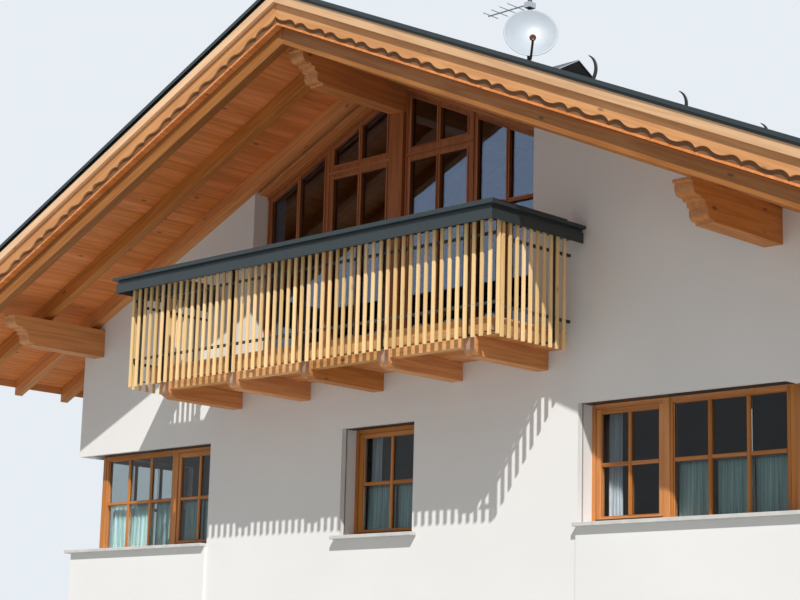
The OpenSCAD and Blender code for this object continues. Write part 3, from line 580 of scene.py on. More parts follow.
@made_once
def glass_finish(name, tint, index=1.45, painted_reflection=(0.40, 0.38, 0.38)):
    """Clear sealed glass that lets light into the rooms; its Specular Tint is a painted reflection colour."""
    material, tree, shader = new_finish(name, 0.02)
    shader.inputs["Transmission Weight"].default_value = 1.0
    shader.inputs["IOR"].default_value = index
    # Painted reflection: the Specular Tint colours the reflections, darker grey on the plain panes and sky
    # blue on the gable's.
    shader.inputs["Specular Tint"].default_value = rgba(painted_reflection)
    clouds = noise(tree, object_place(tree), 1.3, 2.0, 0.5)
    colour = blend_colours(tree, clouds, rgba(tint, 0.94), rgba(tint, 1.05))
    feed(tree, shader.inputs["Base Color"], colour)
    bump(tree, shader, clouds, 0.12, 0.004)
    path = add(tree, "ShaderNodeLightPath")
    clear = calc(tree, "MULTIPLY", path.outputs["Is Shadow Ray"], 0.94)
    feed(tree, shader.inputs["Alpha"], calc(tree, "SUBTRACT", 1.0, clear))
    return material


@made_once
def cloth_finish(name, colour, header_level):
    """Thin woven cloth with a darker gathered header and bands of painted shade and light for the folds, from
    the cloth's own flat coordinates.
    """
    material, tree, shader = new_finish(name, 0.85)
    shader.inputs["Sheen Weight"].default_value = 0.25
    flat = add(tree, "ShaderNodeUVMap", {"uv_map": "flat"}).outputs["UV"]
    parts = add(tree, "ShaderNodeSeparateXYZ", Vector=flat)
    across, down = [
        calc(tree, "SINE", calc(tree, "MULTIPLY", parts.outputs[way], THREADS)) for way in ("X", "Y")
    ]
    weave = calc(tree, "MULTIPLY", across, down)
    slubs = noise(tree, scaled(tree, flat, (14.0, 220.0, 1.0)), 1.0, 2.0, 0.5)
    edge = stretch(tree, parts.outputs["Y"], 0.028, 0.05)
    base = blend_colours(tree, edge, rgba(colour, header_level), rgba(colour))
    # Painted shade and highlight: vertical bands darken and lighten the cloth for its folds, and do not
    # follow the folds of the mesh.
    folds = noise(tree, scaled(tree, flat, (42.0, 1.1, 1.0)), 1.0, 1.0, 0.4)
    painted_fold_light = stretch(tree, folds, 0.32, 0.66, 0.66, 1.22)
    shade = calc(tree, "MULTIPLY", stretch(tree, slubs, 0.3, 0.7, 0.94, 1.04), painted_fold_light)
    even = add(tree, "ShaderNodeHueSaturation", Color=base, Value=shade)
    feed(tree, shader.inputs["Base Color"], even.outputs["Color"])
    bump(tree, shader, weave, 0.3, 0.0004)
    return material


def settings(group):
    """The sidebar's values of one group."""
    return getattr(bpy.context.scene, "chalet_" + group)


def beam_wood():
    return timber_finish("Beam timber", settings("timber").beams, 0.60)


def window_wood():
    return timber_finish("Window timber", settings("windows").wood, 0.58, 22.0, 0.0)


# Painted shade: the gable's timber is the window wood made darker and redder for the shade under the roof.
def gable_wood_in_painted_shade():
    return timber_finish("Gable timber", settings("windows").gable, 0.58, 22.0, 0.0)


def roof_sheet():
    return coated_finish("Coated sheet", settings("metal").sheet, 0.40, 0.0, 0.004)


def black_steel():
    return coated_finish("Black coated steel", settings("metal").steel, 0.42, 0.0, 0.0006)


def bright_steel():
    return coated_finish("Stainless steel", (0.55, 0.55, 0.54), 0.3, 1.0, 0.0003)


# Walls, floors and sills


class CHALET_OT_masonry(bpy.types.Operator):
    """Plasters the walls and the chimney, and finishes the floors and the stone sills"""

    bl_idname = "chalet.masonry"
    bl_label = "Masonry"

    def execute(self, context):
        masonry = settings("masonry")
        # Inside the rooms the plaster is painted down to 0.14 and the concrete to 0.35: painted shade of the
        # dim rooms.
        plaster = mineral_finish("Fine plaster", masonry.plaster, 0.7, 140.0, 0.035, 0.92, 0.0035, 0.14)
        concrete = mineral_finish("Concrete", masonry.concrete, 1.1, 60.0, 0.12, 0.85, 0.003, 0.35)
        for node in ("front_wall", "back_wall", "left_wall", "right_wall", "chimney"):
            paint(node, plaster)
        for node in ("ground_slab", "upper_floors"):
            paint(node, concrete)
        stone = mineral_finish("Honed stone", masonry.stone, 9.0, 420.0, 0.16, 0.5, 0.0006)
        soft_copy("window_sills", "stone_sills", stone, "sill_stone", masonry.sill_edge)
        return {"FINISHED"}


# Roof timbers and boards


class CHALET_OT_roof_timbers(bpy.types.Operator):
    """Planes the purlins, rafters, snow logs and eaves boards, with soft edges and grain"""

    bl_idname = "chalet.roof_timbers"
    bl_label = "Roof timbers"

    def execute(self, context):
        edge = settings("timber").beam_edge
        wood = beam_wood()
        soft_copy("ridge_purlin", "ridge_purlin_timber", wood, "structural_wood", edge, 3)
        soft_copy("eaves_purlins", "eaves_purlin_timbers", wood, "structural_wood", edge, 8)
        # The rafters beyond 7.4 m from the middle get painted shade.
        soft_copy("rafters", "rafter_timbers", wood, "structural_wood", edge, 5, outer=7.4)
        soft_copy("snow_guard_logs", "snow_logs", wood, "structural_wood", edge, 21)
        soft_copy("eaves_boards", "eaves_board_timbers", wood, "structural_wood", edge / 2, 13)
        # The roof deck is a far darker brown than the other timber: painted shade for the shade behind the
        # verge boards.
        deck_in_painted_shade = mineral_finish("Sawn deck boards", (0.19, 0.085, 0.035), 3.0, 60.0, 0.2, 0.85, 0.002)
        paint("roof_deck", deck_in_painted_shade)
        return {"FINISHED"}


class CHALET_OT_soffit(bpy.types.Operator):
    """Lays grooved boards over the rafters, with staggered joints"""

    bl_idname = "chalet.soffit"
    bl_label = "Soffit boards"

    ridge_gap = 0.002
    rafter_gap = 0.7575
    joint_rafters = ((-6, -5, -4), (-1, 0, 1), (4, 5, 6))

    def execute(self, context):
        timber = settings("timber")
        wood = timber_finish("Soffit timber", timber.soffit, 0.62)
        chance = random.Random(40)
        bm = bmesh.new()
        count = int(TAIL_X / (timber.soffit_board * math.cos(PITCH)))
        step = (TAIL_X - self.ridge_gap) / count
        for side in (-1, 1):
            for i in range(count):
                x = (self.ridge_gap + i * step, self.ridge_gap + (i + 1) * step)
                joints = [chance.choice(places) * self.rafter_gap for places in self.joint_rafters]
                cuts = [-SOFFIT_Y, *joints, SOFFIT_Y]
                for low, high in zip(cuts, cuts[1:]):
                    roof_slab(bm, side, x, (low, high), (RAFTER_TOP, SOFFIT_TOP))
        lower = [
            e for e in bm.edges
            if e.is_manifold and e.calc_length() > 0.3 and min(f.normal.z for f in e.link_faces) < -0.5
        ]
        bmesh.ops.bevel(
            bm, geom=lower, offset=timber.soffit_groove, offset_type="OFFSET", segments=1, profile=0.5,
            affect="EDGES", clamp_overlap=True, material=-1,
        )
        lay_grain(bm, 41, 0.45, 0.0)
        finish_piece(bm, "soffit_boards", wood, "soffit_wood", ("soffit",))
        return {"FINISHED"}


class CHALET_OT_verges(bpy.types.Operator):
    """Finishes the plain and the scalloped verge boards"""

    bl_idname = "chalet.verges"
    bl_label = "Verge boards"

    def execute(self, context):
        timber = settings("timber")
        pale = timber_finish("Verge timber", timber.verge, 0.74, 26.0, 0.5)
        orange = timber_finish("Scallop timber", timber.scallops, 0.68, 26.0, 0.6)
        soft_copy("verge_boards", "upper_verge_boards", pale, "verge_wood", timber.board_edge, 31)
        soft_copy(
            "scalloped_boards", "scalloped_verge_boards", orange, "scallop_wood", timber.board_edge, 33, 0.1
        )
        return {"FINISHED"}


# Roof sheet


class CHALET_OT_roof_sheet(bpy.types.Operator):
    """Folds the standing seams, the flashings round the chimney and the gutter brackets"""

    bl_idname = "chalet.roof_sheet"
    bl_label = "Roof sheet"

    first_seam = -7.45
    roof_end = 7.5
    brackets = 20

    def execute(self, context):
        metal = settings("metal")
        sheet = roof_sheet()
        for node in ("roof_covering", "ridge_cap", "verge_flashing", "gutters"):
            paint(node, sheet)
        bm = bmesh.new()
        x = (0.1, COVER_X)
        head = COVER_TOP + metal.seam_height
        y = self.first_seam
        while y < self.roof_end:
            for side in (-1, 1):
                roof_slab(bm, side, x, (y - 0.004, y + 0.004), (COVER_TOP, head))
                roof_slab(bm, side, x, (y - 0.009, y + 0.009), (head - 0.005, head))
            y += metal.seam_gap
        finish_piece(bm, "standing_seams", sheet, "roof_metal")
        self.chimney_flashing(sheet)
        self.gutter_brackets(sheet)
        return {"FINISHED"}

    def chimney_flashing(self, sheet):
        """Four strips that lie on the roof round the shaft, and four that stand against it."""
        low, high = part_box("chimney")
        bm = bmesh.new()
        thin = 0.003
        for reach, rise in ((0.14, thin), (thin, 0.16)):
            x = (-high.x - reach, -low.x + reach)
            y = (low.y - reach, high.y + reach)
            for span_x, span_y in (
                ((x[0], -high.x), y), ((-low.x, x[1]), y),
                ((-high.x, -low.x), (y[0], low.y)), ((-high.x, -low.x), (high.y, y[1])),
            ):
                roof_slab(bm, -1, span_x, span_y, (COVER_TOP, COVER_TOP + rise))
        finish_piece(bm, "chimney_flashing", sheet, "roof_metal")

    def gutter_brackets(self, sheet):
        """Flat straps that are bent round the gutters."""
        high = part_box("gutters")[1]
        middle = high.x - 0.075
        radius = 0.0735
        strap = Matrix.Diagonal((0.003, 0.024, 1.0, 1.0))
        bm = bmesh.new()
        for side in (-1, 1):
            for i in range(self.brackets + 1):
                y = self.roof_end * (2 * i / self.brackets - 1)
                place = Matrix.Translation((side * (middle - radius), y, high.z))
                verts = bmesh.ops.create_grid(
                    bm, x_segments=1, y_segments=1, size=0.5, matrix=place @ strap
                )["verts"]
                bmesh.ops.spin(
                    bm, geom=verts + list(verts[0].link_faces), cent=(side * middle, y, high.z),
                    axis=(0, -side, 0), angle=math.pi, steps=12, use_merge=False,
                )
        bmesh.ops.recalc_face_normals(bm, faces=bm.faces)
        finish_piece(bm, "gutter_brackets", sheet, "roof_metal")


# Windows


def columns(low, high, count):
    """Columns of panes between two edges, with bars between them."""
    width = (high - low - (count - 1) * BAR_W) / count
    return [(low + i * (width + BAR_W), low + i * (width + BAR_W) + width) for i in range(count)]


MID_PANES = columns(-MID_HALF + 0.128, MID_HALF - 0.128, 2)
SASH_PANES = columns(SASH_X, SASH_X + SASH_GLASS, 2)
FIXED_PANES = columns(FIXED_X, FIXED_END, 3)
SIDE_PANES = columns(SIDE_START, CORNER_SIDE - 0.062, 3)


class Plane:
    """A window's plane: along it, inwards from its face, and up from the top of the wall under it."""

    def __init__(self, origin, along, inward):
        self.origin = Vector(origin)
        self.along = Vector(along)
        self.inward = Vector(inward)

    def point(self, u, d, z):
        return self.origin + self.along * u + self.inward * d + Z_AXIS * z

    def member(self, bm, low, high):
        slab(bm, self.point(*low), self.point(*high))

    def rod(self, bm, start, end, radius, sides=12):
        rod(bm, self.point(*start), self.point(*end), radius, sides)


def plain_planes():
    """The planes of all plain windows."""
    planes = []
    for z in STOREY_SILLS:
        planes.append(Plane((0, -FRAME_Y, z), X_AXIS, Y_AXIS))
        for x in BACK_WINDOWS:
            planes.append(Plane((x, FRAME_Y, z), -X_AXIS, -Y_AXIS))
        for y in SIDE_WINDOWS:
            planes.append(Plane((FRAME_X, y, z), Y_AXIS, -X_AXIS))
            planes.append(Plane((-FRAME_X, y, z), Y_AXIS, X_AXIS))
    for x in ATTIC_WINDOWS:
        planes.append(Plane((x, FRAME_Y, ATTIC_SILL), -X_AXIS, -Y_AXIS))
    return planes


def corner_planes():
    """The front and side planes of the corner windows, in pairs."""
    pairs = []
    for z in STOREY_SILLS:
        for s in (-1, 1):
            front = Plane((0, -FRAME_Y, z), X_AXIS * s, Y_AXIS)
            side = Plane((s * FRAME_X, -HALF_L, z), Y_AXIS, -X_AXIS * s)
            pairs.append((front, side))
    return pairs


def glass_bars(bm, plane, panes, foot, head, face):
    """Upright bars between columns of panes, and a level bar over all of them."""
    back = FRAME_D - 0.012
    for left, right in zip(panes, panes[1:]):
        plane.member(bm, (left[1], face, foot), (right[0], back, head))
        plane.member(bm, (left[1] + 0.01, face - 0.006, foot), (right[0] - 0.01, face + 0.004, head))
    low = BAR_Z - BAR_H / 2
    for left, right in panes:
        plane.member(bm, (left, face, low), (right, back, low + BAR_H))
        plane.member(bm, (left, face - 0.006, low + 0.009), (right, face + 0.004, low + BAR_H - 0.009))


def surround(bm, plane, outer, inner, face, back):
    """Two uprights and two levels between two outlines: left, right, foot and head of each."""
    for u in ((outer[0], inner[0]), (inner[1], outer[1])):
        plane.member(bm, (u[0], face, outer[2]), (u[1], back, outer[3]))
    for z in ((outer[2], inner[2]), (inner[3], outer[3])):
        plane.member(bm, (inner[0], face, z[0]), (inner[1], back, z[1]))


def opening_sash(bm, dark, plane, low, high, panes):
    """A sash in two steps round its panes, with a dark rain rail under it."""
    w = settings("windows")
    face = w.sash_step
    back = FRAME_D - 0.004
    foot = FOOT_RAIL + JOINT
    head = HEAD_RAIL - JOINT
    left, right = panes[0][0], panes[-1][1]
    beads = (left - w.bead, right + w.bead, SASH_FOOT - w.bead, SASH_HEAD + w.bead)
    surround(bm, plane, (low, high, foot, head), beads, face, back)
    surround(bm, plane, beads, (left, right, SASH_FOOT, SASH_HEAD), face + 0.009, back - 0.004)
    glass_bars(bm, plane, panes, SASH_FOOT, SASH_HEAD, face + 0.006)
    ends = (low + 0.004, high - 0.004)
    plane.member(dark, (ends[0], face - 0.004, SILL_SLAB + 0.006), (ends[1], face + 0.02, foot - 0.003))
    plane.member(dark, (ends[0], face - 0.016, foot - 0.016), (ends[1], face - 0.002, foot - 0.006))


def plain_window(bm, dark, plane):
    """An outer frame with one sash in it."""
    inside = MID_HALF - settings("windows").outer_frame
    for s in (-1, 1):
        plane.member(bm, (s * MID_HALF, 0, SILL_SLAB), (s * inside, FRAME_D, WINDOW_H))
    plane.member(bm, (-inside, 0, HEAD_RAIL), (inside, FRAME_D, WINDOW_H))
    plane.member(bm, (-inside, 0.03, SILL_SLAB), (inside, FRAME_D, FOOT_RAIL))
    opening_sash(bm, dark, plane, -inside + JOINT, inside - JOINT, MID_PANES)


def corner_window(bm, dark, front, side):
    """The front part with a sash and a fixed light, the post, and the side part."""
    w = settings("windows")
    start = CORNER_IN + w.outer_frame
    sash_end = SASH_X + SASH_GLASS + 0.057
    sash_stop = sash_end + JOINT
    post = FIXED_END + 0.053
    front.member(bm, (CORNER_IN, 0, SILL_SLAB), (start, FRAME_D, WINDOW_H))
    front.member(bm, (start, 0, HEAD_RAIL), (sash_stop, FRAME_D, WINDOW_H))
    front.member(bm, (start, 0.03, SILL_SLAB), (sash_stop, FRAME_D, FOOT_RAIL))
    opening_sash(bm, dark, front, start + JOINT, sash_end, SASH_PANES)
    front.member(bm, (sash_stop, 0, SILL_SLAB), (FIXED_X - 0.046, FRAME_D, WINDOW_H))
    front.member(bm, (FIXED_X - 0.043, 0.004, SILL_SLAB), (FIXED_X - w.bead, FRAME_D, WINDOW_H))
    fixed_light(bm, front, FIXED_PANES, FIXED_X - w.bead, FIXED_END + w.bead)
    rail = ((FIXED_X - 0.04, -0.01, SILL_SLAB + 0.001), (FRAME_X - 0.002, -0.0005, SILL_SLAB + 0.02))
    front.member(dark, *rail)
    front.member(bm, (FIXED_END + w.bead, 0.004, SILL_SLAB), (post - JOINT, FRAME_D, WINDOW_H))
    front.member(bm, (post, 0, SILL_SLAB), (FRAME_X, 0.066, WINDOW_H))
    front.member(bm, (post, 0.066, SILL_SLAB), (FRAME_X - 0.004, 0.119, WINDOW_H))
    side.member(bm, (SIDE_START - 0.05, 0.004, SILL_SLAB), (SIDE_START - w.bead, FRAME_D, WINDOW_H))
    fixed_light(bm, side, SIDE_PANES, SIDE_START - w.bead, CORNER_SIDE - 0.062 + w.bead)
    side.member(bm, (CORNER_SIDE - 0.05, 0, SILL_SLAB), (CORNER_SIDE, FRAME_D, WINDOW_H))


def fixed_light(bm, plane, panes, low, high):
    """Glass set straight into the frame, with beads round it."""
    w = settings("windows")
    inner = w.sash_step + 0.009
    left, right = panes[0][0], panes[-1][1]
    for u in ((low, left), (right, high)):
        plane.member(bm, (u[0], inner, FIXED_FOOT), (u[1], FRAME_D - 0.008, FIXED_HEAD))
    plane.member(bm, (low, 0.004, FIXED_HEAD + w.bead), (high, FRAME_D, WINDOW_H))
    plane.member(bm, (left, inner, FIXED_HEAD), (right, FRAME_D - 0.008, FIXED_HEAD + w.bead))
    plane.member(bm, (low, 0.006, SILL_SLAB), (high, FRAME_D, FIXED_FOOT - 0.006))
    plane.member(bm, (left, inner, FIXED_FOOT - 0.006), (right, FRAME_D - 0.008, FIXED_FOOT))
    glass_bars(bm, plane, panes, FIXED_FOOT, FIXED_HEAD, w.sash_step + 0.004)


def window_handle(bm, plane, u, z):
    """A lever on the room side of a sash."""
    plane.member(bm, (u - 0.013, FRAME_D - 0.004, z - 0.035), (u + 0.013, FRAME_D + 0.006, z + 0.035))
    plane.rod(bm, (u, FRAME_D, z), (u, FRAME_D + 0.045, z), 0.008)
    plane.member(bm, (u - 0.008, FRAME_D + 0.035, z - 0.11), (u + 0.008, FRAME_D + 0.049, z + 0.008))


def blind_track(pale, dark, plane, low, high, both=True):
    """Guide channels for a blind on the reveals, with a dark strip in each, and a dark plate under the head
    that is the blind's slot and painted shade, as it covers most of the head's underside.
    """
    ends = (low, high) if both else (low,)
    for u in ends:
        way = 0.006 if u == low else -0.006
        for d in (-0.165, -0.148):
            plane.member(pale, (u, d, SILL_SLAB), (u + way, d + 0.006, WINDOW_H))
        plane.member(dark, (u, -0.159, SILL_SLAB), (u + way / 3, -0.148, WINDOW_H))
    # Painted shade: the dark plate under the head stands for the blind's slot and for the shade that falls
    # there.
    plane.member(dark, (low, -0.17, WINDOW_H - 0.004), (high, -0.02, WINDOW_H - 0.0005))


class CHALET_OT_windows(bpy.types.Operator):
    """Builds the frames, sashes, bars, rain rails, handles and blind tracks of all windows"""

    bl_idname = "chalet.windows"
    bl_label = "Windows"

    def execute(self, context):
        w = settings("windows")
        wood = window_wood()
        steel = black_steel()
        rails = bmesh.new()
        handles = bmesh.new()
        tracks = bmesh.new()
        slots = bmesh.new()
        bm = bmesh.new()
        for plane in plain_planes():
            plain_window(bm, rails, plane)
            window_handle(handles, plane, MID_HALF - 0.09, 0.62)
            blind_track(tracks, slots, plane, -MID_HALF, MID_HALF)
        timber_piece(bm, "casement_frames", wood, "window_wood", w.edge, 51, ("casement_windows",))
        bm = bmesh.new()
        for front, side in corner_planes():
            corner_window(bm, rails, front, side)
            window_handle(handles, front, SASH_X + SASH_GLASS + 0.032, 0.62)
            blind_track(tracks, slots, front, CORNER_IN, FRAME_X, both=False)
            blind_track(tracks, slots, side, CORNER_SIDE, 0.225, both=False)
        timber_piece(bm, "corner_frames", wood, "window_wood", w.edge, 52, ("corner_windows",))
        soften(rails, 0.0015)
        finish_piece(rails, "rain_rails", steel, "black_steel")
        soften(handles, 0.0015)
        finish_piece(handles, "window_handles", bright_steel(), "black_steel")
        pale = coated_finish("Pale coated channel", (0.55, 0.54, 0.52), 0.5, 0.0, 0.0004)
        finish_piece(tracks, "blind_channels", pale, "dish_white")
        finish_piece(slots, "blind_slots_and_painted_shade", steel, "black_steel")
        return {"FINISHED"}


class CHALET_OT_gable_window(bpy.types.Operator):
    """Builds the glazed gable: its frame, post, sashes, beads and transoms"""

    bl_idname = "chalet.gable_window"
    bl_label = "Glazed gable"

    inner_bays = ((0.196, 0.6), (0.66, 1.07))
    outer_bays = ((1.23, 1.65), (1.7, 2.14))
    transom = (8.24, 8.41)
    low_bar = (7.518, 7.562)
    bay_foot = 5.94
    bay_drop = 0.11
    bead = 0.02
    strip_face = -FRAME_Y - 0.02
    strip_back = -FRAME_Y + 0.01

    def top(self, x):
        return RAFTER_LINE - SLOPE * abs(x) - self.bay_drop

    def panes(self, margin):
        """Outlines of the panes right of the post, with a margin all round them."""
        for bays, bar in ((self.inner_bays, self.transom), (self.outer_bays, self.low_bar)):
            foot, under, over = self.bay_foot - margin, bar[0] + margin, bar[1] - margin
            for low, high in bays:
                low -= margin
                high += margin
                tops = [self.top(x) + margin / math.cos(PITCH) for x in (low, high)]
                yield [(low, foot), (high, foot), (high, under), (low, under)]
                yield [(low, over), (high, over), (high, tops[1]), (low, tops[0])]

    def ring(self, bm, corners, width, y_face, depth):
        """Four mitred members inside an outline."""
        face = bm.faces.new([bm.verts.new((x, y_face, z)) for x, z in corners])
        face.normal_update()
        ring = bmesh.ops.inset_region(
            bm, faces=[face], thickness=width, use_even_offset=True, use_boundary=True
        )["faces"]
        bmesh.ops.delete(bm, geom=[face], context="FACES")
        joints = dict.fromkeys(e for f in ring for e in f.edges if len(e.link_faces) == 2)
        bmesh.ops.split_edges(bm, edges=list(joints))
        solid = bmesh.ops.extrude_face_region(bm, geom=ring)
        moved = [g for g in solid["geom"] if isinstance(g, bmesh.types.BMVert)]
        bmesh.ops.translate(bm, verts=moved, vec=(0, depth, 0))

    def execute(self, context):
        w = settings("windows")
        wood = gable_wood_in_painted_shade()
        soft_copy("gable_window_frame", "gable_frame", wood, "window_wood", w.edge, 61)
        soft_copy("gable_post", "gable_post_timber", wood, "window_wood", 0.004, 62)
        bm = bmesh.new()
        for outline in self.panes(self.bead):
            for s in (-1, 1):
                corners = [(s * x, z) for x, z in outline]
                self.ring(bm, corners, self.bead, -FRAME_Y - 0.012, 0.03)
        bmesh.ops.recalc_face_normals(bm, faces=bm.faces)
        timber_piece(bm, "gable_sashes", wood, "window_wood", w.edge, 63)
        bm = bmesh.new()
        for s in (-1, 1):
            slab(bm, (s * 0.13, self.strip_face, 8.306), (s * 1.15, self.strip_back, 8.33))
            slab(bm, (s * 0.106, self.strip_face, 5.855), (s * 2.225, self.strip_back, 5.895))
            for x in (0.118, 1.15, 2.19):
                far = x + 0.022
                top = RAFTER_LINE - SLOPE * far - 0.012
                slab(bm, (s * x, self.strip_face + 0.006, 5.9), (s * far, self.strip_back, top))
            roof_slab(bm, s, (0.107, 2.243), (-FRAME_Y - 0.022, -FRAME_Y + 0.005), (-0.04, -0.001))
        timber_piece(bm, "gable_strips", wood, "window_wood", 0.003, 64)
        return {"FINISHED"}


class CHALET_OT_glazing(bpy.types.Operator):
    """Gives the sealed units their clear glass"""

    bl_idname = "chalet.glazing"
    bl_label = "Glass"

    def execute(self, context):
        glass = glass_finish("Sealed glass", settings("windows").glass)
        for node in ("corner_glass", "window_glass"):
            paint(node, glass)
        # Painted reflection of the sky: the gable's glass reflects in blue, and more strongly.
        painted_sky_glass = glass_finish("Gable glass", settings("windows").glass, 2.2, (0.50, 0.66, 1.0))
        paint("gable_glass", painted_sky_glass)
        return {"FINISHED"}


# Curtains


class CHALET_OT_curtains(bpy.types.Operator):
    """Hangs the gathered short curtains and the long ones, each on its rod"""

    bl_idname = "chalet.curtains"
    bl_label = "Curtains"

    low_rod = 0.152
    high_rod = 0.182
    high_level = 1.2

    def cloth(self, name, material, plane, span, drop, depth, folds, swing, seed):
        """One gathered sheet: folds that are tight at the rod and wide at the hem."""
        chance = random.Random(seed)
        bm = bmesh.new()
        across = folds * 14
        down = 26
        grid = bmesh.ops.create_grid(bm, x_segments=across, y_segments=down, size=0.5)["verts"]
        flat = bm.loops.layers.uv.new("flat")
        shift = [chance.uniform(0, math.tau) for _ in range(4)]
        width = span[1] - span[0]
        height = drop[1] - drop[0]
        share = {v: (v.co.x + 0.5, v.co.y + 0.5) for v in grid}
        flat_width = width * (1 + (math.pi * folds * 1.6 * swing / width) ** 2 * 0.9) ** 0.5
        for face in bm.faces:
            for loop in face.loops:
                s, t = share[loop.vert]
                loop[flat].uv = (s * flat_width, (1 - t) * height)
        for v in grid:
            s, t = share[v]
            bunch = s + 0.018 * math.sin(5.1 * s + shift[3]) * (1 - t)
            wide = swing * (1.0 - 0.45 * t)
            drift = 0.5 * math.sin(3.0 * s + 2.0 * (1 - t) + shift[1])
            wave = math.sin(math.tau * folds * bunch + shift[0] + drift)
            small = math.sin(math.tau * folds * 2.3 * s + shift[2]) * 0.22
            pleat = 0.0
            if t > 0.93:
                pleat = 0.0035 * math.sin(math.tau * folds * 3.0 * s + shift[1])
            u = span[0] + width * (s + 0.006 * math.sin(math.tau * folds * s * 2 + shift[0]) * (1 - t))
            z = drop[0] + height * t + 0.003 * math.sin(7.0 * s + shift[2]) * (1 - t)
            v.co = plane.point(u, depth + wide * (wave + small) + pleat, z)
        area = sum(f.calc_area() for f in bm.faces)
        piece = finish_piece(bm, name, material, "curtain_cloth")
        piece.data.set_sharp_from_angle(angle=math.pi)
        return piece

    def execute(self, context):
        w = settings("windows")
        teal = cloth_finish("Short curtain cloth", w.curtain, 0.5)
        grey = cloth_finish("Long curtain cloth", w.drape, 0.95)
        sill = STOREY_SILLS[1]
        right = Plane((0, -FRAME_Y, sill), X_AXIS, Y_AXIS)
        left = Plane((0, -FRAME_Y, sill), -X_AXIS, Y_AXIS)
        low = (self.low_rod, BAR_Z - 0.012)
        high = (self.high_rod, self.high_level)
        rods = bmesh.new()
        jobs = []
        for label, plane in (("right", right), ("left", left)):
            plane.rod(rods, (FIXED_X - 0.06, *low), (FIXED_END + 0.04, *low), 0.005)
            for i, pane in enumerate(FIXED_PANES):
                jobs.append((f"curtain_{label}_{i + 1}", plane, pane, 0.085))
        left.rod(rods, (SASH_X - 0.04, *low), (SASH_X + SASH_GLASS + 0.04, *low), 0.005)
        right.rod(rods, (-0.47, *low), (0.47, *low), 0.005)
        for label, plane, panes in (("left_sash", left, SASH_PANES), ("middle", right, MID_PANES)):
            for i, pane in enumerate(panes):
                jobs.append((f"curtain_{label}_{i + 1}", plane, pane, 0.125))
        starts = (SASH_X, MID_PANES[0][0])
        for x in starts:
            right.rod(rods, (x - 0.05, *high), (x + 0.75, *high), 0.008)
        bmesh.ops.recalc_face_normals(rods, faces=rods.faces)
        finish_piece(rods, "curtain_rods", bright_steel(), "black_steel")
        short = [
            self.cloth(
                name, teal, plane, (pane[0] - 0.012, pane[1] + 0.012), (foot, BAR_Z), 0.126, 5, 0.013, 70 + n
            )
            for n, (name, plane, pane, foot) in enumerate(jobs)
        ]
        long = [
            self.cloth(
                f"long_curtain_{n + 1}", grey, right, (x - 0.015, x + 0.155), (0.085, self.high_level),
                0.156, 4, 0.02, 90 + n,
            )
            for n, x in enumerate(starts)
        ]
        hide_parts("half_curtains")
        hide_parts("long_curtains")
        return {"FINISHED"}


# Door at the back


class CHALET_OT_door(bpy.types.Operator):
    """Builds the boarded entrance door with its frame, ledges, handle and threshold"""

    bl_idname = "chalet.door"
    bl_label = "Entrance door"

    def execute(self, context):
        wood = window_wood()
        low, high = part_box("entrance_door")
        plane = Plane((0, high.y, low.z), -X_AXIS, -Y_AXIS)
        half = high.x
        tall = high.z - low.z
        bm = bmesh.new()
        for s in (-1, 1):
            plane.member(bm, (s * half, 0, 0), (s * (half - 0.08), FRAME_D, tall))
        plane.member(bm, (-half + 0.08, 0, tall - 0.08), (half - 0.08, FRAME_D, tall))
        inside = half - 0.083
        count = 8
        wide = 2 * inside / count
        for i in range(count):
            u = -inside + i * wide
            plane.member(bm, (u, 0.014, 0.008), (u + wide, FRAME_D - 0.012, tall - 0.083))
        for z in (0.12, 0.98, 1.84):
            plane.member(bm, (-inside + 0.03, 0.006, z), (inside - 0.03, 0.02, z + 0.12))
        timber_piece(bm, "entrance_door_boards", wood, "window_wood", 0.003, 81, ("entrance_door",))
        bm = bmesh.new()
        plane.member(bm, (inside - 0.085, 0.0085, 0.93), (inside - 0.045, 0.016, 1.16))
        plane.rod(bm, (inside - 0.065, 0.01, 1.09), (inside - 0.065, -0.045, 1.09), 0.009)
        plane.member(bm, (inside - 0.2, -0.052, 1.08), (inside - 0.055, -0.036, 1.1))
        for z in (0.25, 1.1, 1.9):
            plane.rod(bm, (-inside - 0.002, -0.004, z - 0.05), (-inside - 0.002, -0.004, z + 0.05), 0.009)
        soften(bm, 0.0015)
        finish_piece(bm, "door_fittings", black_steel(), "black_steel")
        bm = bmesh.new()
        plane.member(bm, (-half, -0.225, 0), (half, 0.012, 0.02))
        soften(bm, 0.004)
        finish_piece(bm, "door_threshold", bpy.data.materials["Honed stone"], "sill_stone")
        return {"FINISHED"}


# Balcony


